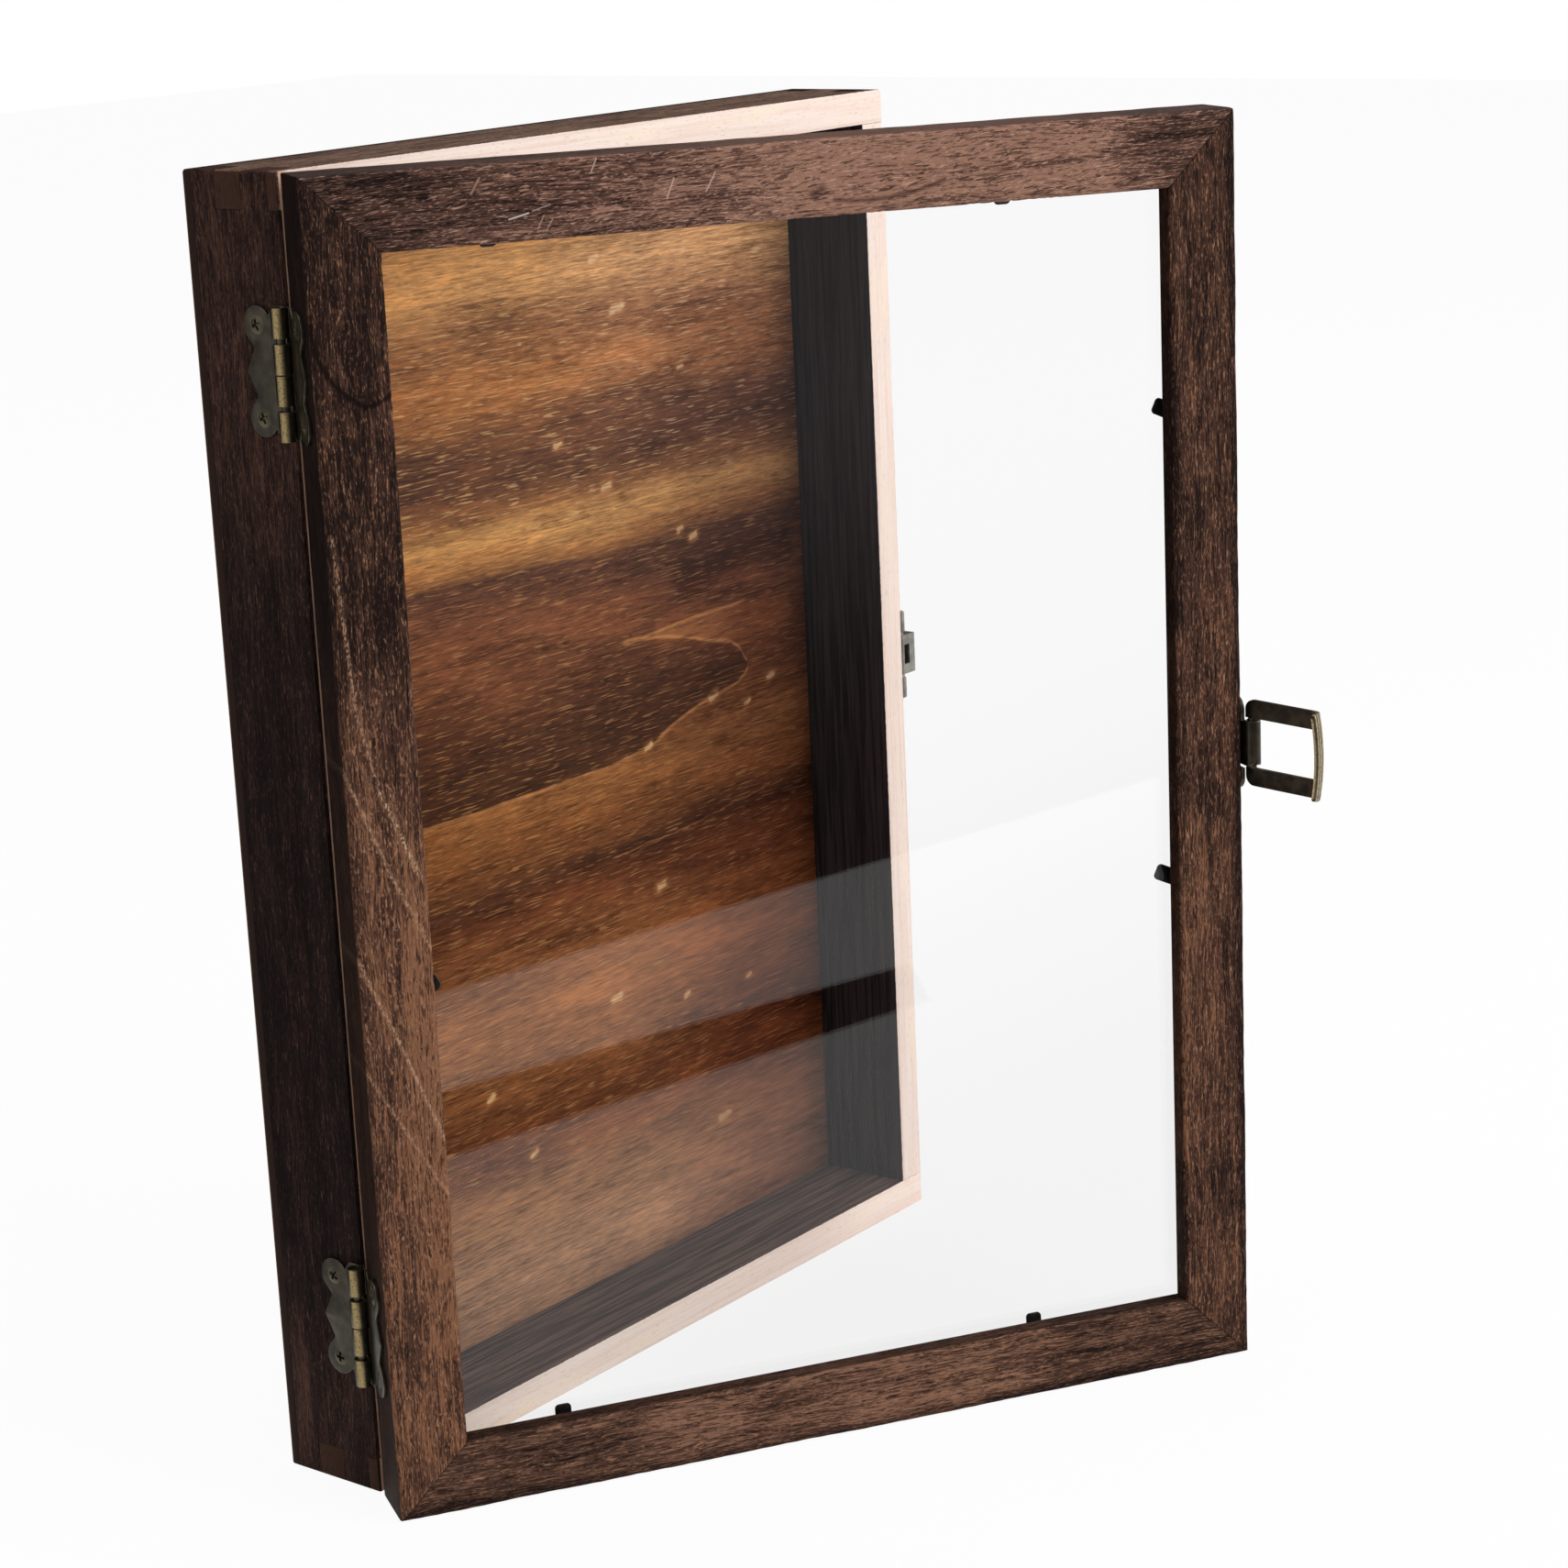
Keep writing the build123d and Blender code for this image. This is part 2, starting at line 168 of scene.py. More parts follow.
def firstWire(values):
    return next(value for value in values if isinstance(value, Wire))


def calc(operation, *values, clamp=False):
    tree, inputs = firstWire(values).tree, dict(enumerate(values))
    if any(isinstance(v, Wire) and v.socket.type in ("VECTOR", "RGBA") for v in values):
        made = addNode(tree, "VectorMath", inputs, operation=operation)
        return made["Value" if operation in ("LENGTH", "DOT_PRODUCT") else "Vector"]
    return addNode(tree, "Math", inputs, operation=operation, use_clamp=clamp)[0]


def step(value, low, high):
    # Smooth step from 0 at low to 1 at high; low may be the larger one
    inputs = {"Value": value, "From Min": low, "From Max": high}
    return addNode(value.tree, "MapRange", inputs, interpolation_type="SMOOTHSTEP")[0]


def mix(share, first, second, kind="MIX"):
    tree = firstWire((share, first, second)).tree
    return addNode(tree, "Mix", {0: share, 6: first, 7: second}, data_type="RGBA", blend_type=kind)[2]


def split(vector):
    return addNode(vector.tree, "SeparateXYZ", {0: vector})


def joined(tree, *values):
    return addNode(tree, "CombineXYZ", dict(enumerate(values)))[0]


def noise(vector, stretch, detail=3.0, roughness=0.55):
    # Noise whose lumps are as long as stretch says, in the units of the vector
    inputs = {"Vector": vector / stretch, "Scale": 1.0, "Detail": detail, "Roughness": roughness}
    return addNode(vector.tree, "TexNoise", inputs)


def drift(vector, stretch, reach, detail=2.0):
    # The vector moved about by noise, by up to half of reach each way
    return vector + (noise(vector, stretch, detail)[1] - (0.5, 0.5, 0.5)) * reach


def newGroup(name, inputs, outputs):
    tree = bpy.data.node_groups.new(name, "ShaderNodeTree")
    for way, sockets in (("INPUT", inputs), ("OUTPUT", outputs)):
        for key, kind in sockets.items():
            tree.interface.new_socket(key, in_out=way, socket_type="NodeSocket" + kind)
    given = Made(tree, tree.nodes.new("NodeGroupInput"))
    return tree, given, tree.nodes.new("NodeGroupOutput").inputs


def useGroup(group, values):
    return addNode(firstWire(values.values()).tree, "Group", values, node_tree=group)


def flecks(vector, length, width, amount, wander=0.5, tilt=0.0):
    return useGroup(fleckGroup, {"Vector": vector, "Length": length, "Width": width, "Amount": amount,
                                 "Wander": wander, "Tilt": tilt})[0]


def stroke(vector, row):
    return useGroup(strokeGroup, {
        "Vector": vector, "From": (*row["from"], 0), "To": (*row["to"], 0), "Width": row["width"],
        "Bow": row.get("bow", 0.0), "Core": row.get("core", 0.0)})[0]


def grained(vector, grain):
    return useGroup(grainGroup, {"Vector": vector, "Patch Length": 34.0, "Fleck Length": 2.4,
                                 "Fleck Width": 0.4, "Fine Amount": 0.5, "Tilt": 0.0, **grain})


def newMaterial(name, **sockets):
    material = bpy.data.materials.new(name)
    material.use_nodes = True
    tree = material.node_tree
    shader = tree.nodes["Principled BSDF"]
    for key, value in sockets.items():
        shader.inputs[key.replace("_", " ")].default_value = value
    return material, tree, shader


def mixSurface(tree, share, first, second):
    mixed = addNode(tree, "MixShader", {0: share, 1: first, 2: second})[0]
    put(tree.nodes["Material Output"].inputs["Surface"], mixed)


def objectPlace(tree, turn=Matrix.Identity(3), offset=(0, 0, 0)):
    # Object coordinates in millimetres, turned by a 3x3 matrix and then moved
    return addNode(tree, "Mapping", {
        "Vector": addNode(tree, "TexCoord")["Object"], "Scale": (1000, 1000, 1000),
        "Rotation": turn.to_euler("XYZ"), "Location": offset})[0]


def addBump(shader, height, distance):
    inputs = {"Height": height, "Distance": distance, "Strength": 1.0}
    put(shader.inputs["Normal"], addNode(height.tree, "Bump", inputs)[0])


def makeFlecks():
    # Short dashes along X: stretched noise kept above a level, so that no two are alike
    tree, given, result = newGroup("flecks", {
        "Vector": "Vector", "Length": "Float", "Width": "Float", "Tilt": "Float", "Amount": "Float",
        "Wander": "Float",
    }, {"Value": "Float"})
    turned = addNode(tree, "VectorRotate", {"Vector": given["Vector"], "Angle": given["Tilt"]},
                     rotation_type="Z_AXIS")[0]
    bent = drift(turned, (5.0, 2.4, 2.4), joined(tree, 0.0, given["Wander"], given["Wander"]), 1.0)
    lumps = noise(bent, joined(tree, given["Length"], given["Width"], given["Width"]), 1.0, 0.5)[0]
    level = 0.70 - given["Amount"] * 0.22
    put(result["Value"], step(lumps, level, level + 0.07))
    return tree


def makeStroke():
    # A soft stroke between two points, bowed sideways by Bow at its middle: 1 on its line, 0 from
    # Width away
    tree, given, result = newGroup("stroke", {
        "Vector": "Vector", "From": "Vector", "To": "Vector", "Bow": "Float", "Width": "Float",
        "Core": "Float",
    }, {"Value": "Float"})
    reach = given["To"] - given["From"]
    away = (given["Vector"] - given["From"]) * (1.0, 1.0, 0.0)
    length = calc("LENGTH", reach)
    part = calc("DOT_PRODUCT", away, reach) / (length * length)
    kept = calc("ADD", part, 0.0, clamp=True)
    crossed = split(calc("CROSS_PRODUCT", reach, away))[2]
    side = crossed / length - kept * (1.0 - kept) * 4.0 * given["Bow"]
    past = (part - kept) * length
    gap = calc("SQRT", side * side + past * past)
    put(result["Value"], step(gap, given["Width"], given["Width"] * given["Core"]))
    return tree


def makeGrain():
    # Dark stained wood with X along the grain: slow streaks, charred patches, thin threads, and
    # two sizes of the pale dashes of its open pores. Shade moves all of it from dark (0) to light (1)
    tree, given, result = newGroup("stainedGrain", {
        "Vector": "Vector", "Dark": "Color", "Middle": "Color", "Light": "Color", "Fleck": "Color",
        "Shade": "Float", "Patch Length": "Float", "Fleck Length": "Float", "Fleck Width": "Float",
        "Fleck Amount": "Float", "Fine Amount": "Float", "Tilt": "Float",
    }, {"Color": "Color", "Roughness": "Float", "Height": "Float"})
    bent = drift(given["Vector"], (46.0, 11.0, 11.0), (10.0, 5.0, 5.0))
    streaks = noise(bent, (38.0, 1.3, 1.3), 5.0, 0.65)[0]
    threads = noise(bent, (7.0, 0.42, 0.42), 3.0, 0.65)[0]
    patches = noise(bent, joined(tree, given["Patch Length"], 7.0, 7.0), 4.0, 0.6)[0]
    tilt = given["Tilt"]
    bold = flecks(bent, given["Fleck Length"], given["Fleck Width"], given["Fleck Amount"], 0.25, tilt)
    fine = flecks(bent + (5.3, 2.9, 1.1), 1.3, 0.28, given["Fine Amount"], 0.2, tilt)
    level = given["Shade"]
    for value, weight in ((streaks, 0.9), (patches, 0.9), (threads, 1.6)):
        level = level + (value - 0.5) * weight
    body = mix(step(level, 0.10, 0.50), given["Dark"], given["Middle"])
    body = mix(step(level, 0.48, 0.90), body, given["Light"])
    seen = 0.2 + step(level, 0.05, 0.7) * 0.8
    pores = flecks(bent + (2.1, 7.3, 4.9), 2.6, 0.44, 0.6, 0.3, tilt)
    body = mix(pores * 0.65, body, given["Dark"])
    body = mix(fine * 0.7 * seen, body, given["Fleck"])
    put(result["Color"], mix(bold * seen, body, given["Fleck"]))
    put(result["Roughness"], 0.44 + threads * 0.30)
    put(result["Height"], threads * 0.6 + streaks * 0.5 - bold * 0.5)
    return tree


def makeRawGrain():
    # Bare pale wood where the stained box was trimmed: faint pink and tan lines along X
    tree, given, result = newGroup("rawGrain", {"Vector": "Vector"}, {"Color": "Color"})
    lines = noise(given["Vector"], (60.0, 0.9, 0.9), 4.0)[0]
    clouds = noise(given["Vector"], (30.0, 5.0, 5.0), 2.0)[0]
    pores = flecks(given["Vector"], 2.4, 0.2, 0.25)
    color = mix(step(lines, 0.35, 0.7), tone(246, 228, 218), tone(238, 212, 199))
    color = mix(step(clouds, 0.5, 0.75), color, tone(247, 226, 208))
    put(result["Color"], mix(pores * 0.5, color, tone(196, 156, 132)))
    return tree


def makePatina():
    # Aged bronze: cloudy brown patina over a brighter metal, with small dark pits, and the Bright tone
    # painted in as a highlight by the given share
    tree, given, result = newGroup("patina", {
        "Vector": "Vector", "Old": "Color", "Rubbed": "Color", "Bare": "Float", "Bright": "Color",
    }, {"Color": "Color", "Roughness": "Float", "Height": "Float"})
    clouds = noise(given["Vector"], (3.2, 3.2, 3.2), 4.0)[0]
    grit = noise(given["Vector"], (0.35, 0.35, 0.35), 3.0)[0]
    color = mix(step(clouds, 0.35, 0.68), given["Old"], given["Rubbed"])
    glint = calc("MULTIPLY", given["Bare"], step(grit, 0.25, 0.55), clamp=True)
    color = mix(glint, color, given["Bright"])
    put(result["Color"], mix(step(grit, 0.36, 0.28), color, tone(24, 21, 16)))
    put(result["Roughness"], 0.46 - clouds * 0.22)
    put(result["Height"], grit)
    return tree


fleckGroup = makeFlecks()
strokeGroup = makeStroke()
grainGroup = makeGrain()
rawGroup = makeRawGrain()
patinaGroup = makePatina()
print("shared effects made")


axisX, axisY, axisZ = Vector((1, 0, 0)), Vector((0, 1, 0)), Vector((0, 0, 1))


def boardPlace(tree, along, across, corner, turn=0.0):
    # Board space in millimetres: X along the grain, Y across the face, Z through the board,
    # from the given corner, with a door piece first turned shut about the hinge
    rows = Matrix((along, across, along.cross(across)))
    shut = Matrix.Rotation(-turn, 3, "Z")
    pivot = doorPivot if turn else Vector()
    offset = rows @ (pivot - shut @ pivot - Vector(corner)) * 1000
    return objectPlace(tree, rows @ shut, offset)


seamShadeTone, shadeTone, mitreTone = tone(212, 168, 142), tone(20, 14, 14), tone(18, 12, 12)
endTones = (tone(38, 26, 23), tone(86, 60, 48))


def woodMaterial(name, place, grain, strokes=(), raw=False, rim=0.0, inside=None, ends=None, mitre=None,
                 left=None, insideTones=((42, 36, 37), (66, 56, 57)), paintedSideTone=(20, 14, 14), paintedSideShare=0.5):
    # The stained grain with its placed strokes (one a painted sheen), then the inner face, the
    # fingers' end grain, the painted shade on the door's sides, the mitre lines, and the raw edge,
    # which starts a rim away from the outer face and has painted shade along the seam
    material, tree, shader = newMaterial(name, Specular_IOR_Level=0.03)
    vector = boardPlace(tree, *place)
    parts = split(vector)
    along, across, through = parts[0], parts[1], parts[2]
    grit = flecks(vector, 0.9, 0.4, 0.85)
    shade, marks = grain["Shade"], []
    for row in strokes:
        mask = stroke(vector, row)
        if "shade" in row:
            shade = shade + mask * row["shade"]
        else:
            marks.append((row, mask))
    stained = grained(vector, {**grain, "Shade": shade})
    color, height = stained["Color"], stained["Height"]
    for row, mask in marks:
        speckle = (1.0 - row["broken"]) + grit * row["broken"]
        color = mix(mask * speckle * row["share"], color, tone(*row["color"]))
    if inside:
        lines = step(noise(vector, (30.0, 1.0, 1.0), 4.0, 0.65)[0], 0.35, 0.65)
        faint = mix(lines, *(tone(*row) for row in insideTones))
        color = mix(step(through, inside - 0.3, inside - 0.1), color, faint)
    if ends:
        rings = noise(vector, (9.0, 0.5, 2.5), 3.0)[0]
        nearEnd = step(abs(along - ends / 2), ends / 2 - 0.4, ends / 2 - 0.2)
        color = mix(nearEnd, color, mix(rings, *endTones))
    if mitre:
        # painted shade on the outer and inner sides (on the top rail's top face a greyer painted sheen),
        # paler again at the back face, then the mitre lines
        behind = step(abs(through), 0.5, 1.2)
        outer = step(across, 12.0, 8.0)
        share = (0.68 + outer * (paintedSideShare - 0.68)) * step(abs(through), 17.5, 14.5)
        color = mix(behind * share, color, mix(outer, shadeTone, tone(*paintedSideTone)))
        line = step(calc("MINIMUM", abs(along - across), abs(mitre - along - across)), 0.45, 0.1)
        color = mix(line * 0.5, color, mitreTone)
    if raw:
        pale = useGroup(rawGroup, {"Vector": vector})["Color"]
        if rim:
            # darker tan toward the outer face: painted shade along the seam by the door
            pale = mix(step(through, 4.5, 1.8), pale, seamShadeTone)
        edge = step(across + grit * 0.08, 0.22, 0.10) * step(through, rim - 0.15, rim + 0.05)
        if left is not None:
            away = abs(along - left)
            edge = edge * step(away, 0.75, 0.95)
            # the same painted shade toward the left end
            pale = mix(step(away, 4.5, 1.8), pale, seamShadeTone)
        color = mix(edge, color, pale)
        height = height * (1.0 - edge * 0.6)
    put(shader.inputs["Base Color"], color)
    put(shader.inputs["Roughness"], stained["Roughness"])
    addBump(shader, height, 0.00012)
    return material


# a soft patch that moves the grain's tone darker or lighter
def tonePatch(start, end, width, shade, core=0.0):
    return {"from": start, "to": end, "width": width, "shade": shade, "core": core}


def mark(start, end, width, color, share=1.0, bow=0.0, broken=0.0):
    return {"from": start, "to": end, "width": width, "color": color, "share": share, "bow": bow,
            "broken": broken}


doorFront = -0.0311
boardThickness = 8.3
# the side boards' darker grain is the wood's look in shade, the top board's lighter grain its look lit from
# above: painted shade and painted light
shadedSideGrain = {"Dark": tone(24, 17, 16), "Middle": tone(46, 32, 29), "Light": tone(84, 58, 48),
             "Fleck": tone(104, 74, 62), "Fleck Amount": 0.18, "Fine Amount": 0.4, "Shade": 0.22,
             "Fleck Length": 4.0}
litTopGrain = {"Dark": tone(46, 34, 31), "Middle": tone(96, 74, 64), "Light": tone(136, 108, 92),
            "Fleck": tone(160, 130, 110), "Fleck Amount": 0.25, "Shade": 0.5, "Fleck Length": 4.0}
doorGrain = {"Dark": tone(32, 22, 20), "Middle": tone(73, 50, 41), "Light": tone(132, 91, 67),
             "Fleck": tone(156, 114, 88), "Fleck Amount": 0.34, "Fine Amount": 0.46, "Shade": 0.40}
# the top rail's paler copy of the door grain carries a painted sheen
railGrainWithSheen = {**doorGrain, "Middle": tone(84, 59, 51), "Light": tone(148, 110, 93),
             "Fleck": tone(180, 142, 122)}

# Places are millimetres along the grain and across it; shade darkens or lightens the stain
woodValues = {
    "case_left_board": {
        "place": (-axisZ, axisY, (-caseHalf, caseFront, caseTop)),
        "grain": shadedSideGrain, "raw": True, "rim": 1.2, "inside": boardThickness,
        "strokes": [
            tonePatch((0, 13), (50, 13), 75, 0.34, core=0.2),
            tonePatch((285, 16), (305, 16), 40, 0.2),
            tonePatch((250, 22), (303, 24), 5, 0.2),
        ],
    },
    "case_right_board": {
        "place": (axisZ, axisY, (caseHalf, caseFront, 0)),
        "grain": shadedSideGrain, "raw": True, "inside": boardThickness,
    },
    "case_top_board": {
        "place": (-axisX, axisY, (caseHalf, caseFront, caseTop)),
        "grain": litTopGrain, "raw": True, "inside": boardThickness, "ends": 217.0, "left": 217.0,
    },
    "case_bottom_board": {
        "place": (axisX, axisY, (-caseHalf, caseFront, 0)),
        "grain": shadedSideGrain, "raw": True, "inside": boardThickness, "ends": 217.0, "left": 0.0,
        "insideTones": ((44, 34, 32), (104, 82, 74)),
    },
    "door_left_stile": {
        "place": (-axisZ, axisX, (-caseHalf, doorFront, caseTop), doorTurn),
        # a strong painted shade on the stile's outer side
        "grain": {**doorGrain, "Fleck Length": 1.9, "Fleck Width": 0.46}, "mitre": 305.0, "paintedSideShare": 0.86,
        "strokes": [
            tonePatch((8, 8), (46, 9), 18, -0.16, core=0.5),
            tonePatch((54, 4), (53, 15), 6, 0.14),
            tonePatch((66, 8), (94, 8), 18, -0.16, core=0.3),
            tonePatch((126, 8), (142, 8), 20, 0.03, core=0.2),
            tonePatch((185, 9), (305, 9), 75, 0.2, core=0.2),
            tonePatch((150, 15), (262, 13), 8, 0.2, core=0.3),
            mark((31, 0.5), (49, 11), 1.1, (22, 14, 13), share=0.9, bow=-3.0),
            mark((49, 11), (46.5, 17), 1.0, (22, 14, 13), share=0.9, bow=-0.4),
            mark((76, 1.5), (115, 4), 0.8, (158, 122, 98), broken=0.9),
            mark((115, 4), (133, 8), 0.8, (158, 122, 98), broken=0.9),
            mark((133, 8), (152, 15), 0.9, (190, 156, 124), broken=0.9),
            mark((127, 0), (152, 9), 0.7, (170, 132, 104), broken=0.8),
            mark((152, 9), (170, 17), 0.7, (170, 132, 104), broken=0.8),
            mark((170, 0), (190, 8), 0.8, (176, 138, 108), broken=0.8),
            mark((190, 8), (215, 17), 0.8, (176, 138, 108), broken=0.8),
            mark((196, 0), (228, 17), 0.7, (166, 126, 98), broken=0.8),
        ],
    },
    "door_right_stile": {
        "place": (-axisZ, -axisX, (caseHalf, doorFront, caseTop), doorTurn),
        "grain": {**doorGrain, "Fleck Length": 2.6}, "mitre": 305.0,
        "strokes": [
            tonePatch((170, 12), (250, 13), 9, 0.16, core=0.2),
            tonePatch((276, 8), (305, 8), 22, 0.04, core=0.3),
            tonePatch((0, 0), (305, 0), 3.4, -0.26, core=0.2),
            tonePatch((40, 16.5), (120, 16.5), 3, -0.2),
        ],
    },
    "door_top_rail": {
        "place": (axisX, -axisZ, (-caseHalf, doorFront, caseTop), doorTurn),
        "grain": {**railGrainWithSheen, "Fleck Length": 3.8, "Fleck Width": 0.32, "Tilt": 0.12}, "mitre": 217.0,
        # the top rail's top face gets a greyer painted sheen from the light above, in place of the shade
        # painted on the other sides
        "paintedSideTone": (58, 50, 49), "paintedSideShare": 0.62,
        "strokes": [
            tonePatch((0, 9), (16, 9), 20, -0.1, core=0.4),
            tonePatch((20, 4), (34, 5), 6, -0.1),
            tonePatch((40, 9), (110, 9), 30, 0.09, core=0.3),
            # a painted sheen across the middle of the rail
            tonePatch((140, 9), (165, 9), 95, 0.4, core=0.1),
            tonePatch((198, 9), (217, 9), 20, -0.26, core=0.2),
            mark((119, 13.5), (145, 11), 0.9, (60, 40, 34), share=0.7, bow=1.6),
            mark((114, 12), (116, 11), 1.8, (48, 32, 28), share=0.7),
            mark((45, 12.1), (49.3, 11.1), 0.28, (214, 204, 198), share=0.85),
            mark((50.3, 10.7), (54.2, 9.6), 0.22, (190, 172, 160), share=0.6),
            mark((63.7, 3.5), (65, 0.7), 0.3, (190, 160, 140), share=0.8),
            mark((80.4, 10.3), (82.2, 6.1), 0.3, (196, 168, 150), share=0.8),
            mark((89.4, 9.4), (91.6, 5.6), 0.3, (196, 168, 150), share=0.8),
            mark((51.2, 14.6), (52.7, 11.8), 0.25, (180, 150, 132), share=0.6),
            mark((53.1, 15.1), (54.6, 12.7), 0.25, (180, 150, 132), share=0.6),
            mark((37, 6.2), (39, 3), 0.35, (170, 136, 116), share=0.7),
        ],
    },
    "door_bottom_rail": {
        "place": (axisX, axisZ, (-caseHalf, doorFront, 0), doorTurn),
        "grain": {**doorGrain, "Middle": tone(80, 57, 47), "Light": tone(140, 103, 84), "Fleck Length": 5.0,
                  "Fleck Width": 0.34}, "mitre": 217.0,
        "strokes": [
            tonePatch((0, 8), (60, 8), 34, 0.07, core=0.2),
            tonePatch((75, 12), (150, 12), 22, 0.24, core=0.3),
            tonePatch((0, 0), (217, 0), 4, -0.24, core=0.2),
        ],
    },
}
woods = {name: woodMaterial(name + "Wood", **row) for name, row in woodValues.items()}
print("wood made")


panelValues = {
    # the pale golden stops near the top carry painted light
    "bands": {  # millimetres below the top of the opening: colour
        0: (164, 112, 66), 17: (184, 131, 79), 28: (200, 145, 91), 40: (152, 100, 62), 53: (182, 117, 65),
        63: (122, 76, 46), 74: (102, 61, 38), 82: (144, 93, 55), 89: (204, 148, 88), 95: (158, 104, 60),
        100: (96, 60, 40), 112: (120, 72, 46), 125: (108, 63, 37), 140: (116, 68, 40), 157: (150, 96, 54),
        166: (132, 80, 44), 176: (80, 46, 29), 184: (106, 58, 33), 196: (132, 80, 46), 208: (154, 96, 54),
        222: (142, 88, 50), 237: (104, 58, 32), 247: (120, 70, 40), 260: (162, 112, 74),
        278: (178, 130, 97), 290: (152, 108, 80)},
    "darkTop": [(0, 94), (50, 96.5), (95, 98), (120, 100), (150, 105), (170, 102.5), (200, 100)],
    "wedgeTop": [(0, 123.7), (127, 123.7), (150, 122.6), (180, 121.7), (200, 120)],
    "wedgeLow": [(0, 123.7), (127, 123.7), (142, 125.4), (160, 130), (171, 133.5), (175.5, 138.5),
                 (176.5, 122), (200, 120)],
    "tongueLow": [(0, 151), (50, 153.7), (107, 153.7), (132, 152), (145, 147.7), (162, 144),
                  (171, 142.5), (175.5, 138.5), (176.5, 122), (200, 120)],
    "knots": [(122, 26, 2.6), (130, 39, 3.6), (153, 57, 1.6), (105, 69.5, 2.2), (122, 82.5, 2.6),
              (150, 98.5, 1.8), (155, 101, 2.0), (160, 144.6, 2.6), (184.5, 144, 2.2), (174, 149, 1.8),
              (133, 152.2, 2.0), (135, 190, 2.6), (115, 215, 3.0), (143, 222, 1.8), (169, 224, 1.8),
              (65.5, 227, 2.0), (156, 260, 3.4), (38, 60, 2.0), (22, 118, 2.4), (80, 246, 2.0)],
    # lighter and darker patches of the weave; the lighter one along the top left is a painted pool of light
    "glows": [tonePatch((5, 22), (95, 22), 13, 0.28),
              tonePatch((80, 42), (130, 38), 11, -0.3),
              tonePatch((5, 50), (50, 52), 9, 0.2),
              tonePatch((150, 46), (190, 50), 16, -0.2),
              tonePatch((40, 92), (92, 91), 8, 0.3),
              tonePatch((142, 123.6), (190, 128), 6, 0.6, core=0.4),
              tonePatch((150, 112), (192, 109), 7, -0.6, core=0.2),
              tonePatch((96, 210), (150, 208), 14, 0.3),
              tonePatch((96, 250), (140, 246), 10, 0.3),
              tonePatch((120, 280), (170, 276), 14, 0.25)],
    "lines": [mark((118, 178), (182, 173.5), 0.45, (150, 98, 58), bow=0.8),
              mark((62, 178.5), (86, 179.5), 0.4, (40, 24, 16), bow=0.4),
              mark((128, 124), (186, 121.6), 0.4, (126, 82, 52), bow=0.4)],
    # the tongue's upper and lower colour, its threads, and its upper edge
    "tongue": [(130, 77, 49), (68, 40, 26), (96, 58, 36), (84, 52, 38)],
    "wedge": (156, 102, 65), "rim": (176, 120, 74), "knot": [(200, 132, 76), (242, 200, 144)],
    "dash": [(206, 148, 92), (232, 184, 124)], "edge": (44, 31, 27),
    "deep": (0.40, 0.34, 0.29, 1.0), "bright": (1.74, 1.66, 1.50, 1.0),
    "back": {"Dark": tone(58, 39, 28), "Middle": tone(96, 66, 44), "Light": tone(126, 90, 60),
             "Fleck": tone(150, 112, 80), "Fleck Amount": 0.3, "Shade": 0.55, "Patch Length": 70.0},
    # a tint, where it sets in across the panel, and where down it: golden, greyer, ruddy, and last a
    # painted shade toward the right wall
    "tints": [((0.98, 0.90, 0.78), (110.0, 20.0), (190.0, 140.0)),
              ((1.04, 1.08, 1.30), (90.0, 140.0), (90.0, 60.0)),
              ((1.0, 0.84, 0.72), (120.0, 180.0), (170.0, 210.0)),
              ((0.46, 0.44, 0.52), (96.0, 190.0), (24.0, 60.0))],
}


def curveLine(along, points, span, rise):
    # The height of a drawn line over the share of the span
    made = addNode(along.tree, "FloatCurve", {"Value": along / span})
    mapping = made.node.mapping
    curve = mapping.curves[0]
    for i, (x, y) in enumerate(points):
        if i < 2:
            curve.points[i].location = (x / span, y / rise)
        else:
            curve.points.new(x / span, y / rise)
    for point in curve.points:
        point.handle_type = "AUTO_CLAMPED"
    mapping.use_clip = False
    mapping.update()
    return made[0] * rise


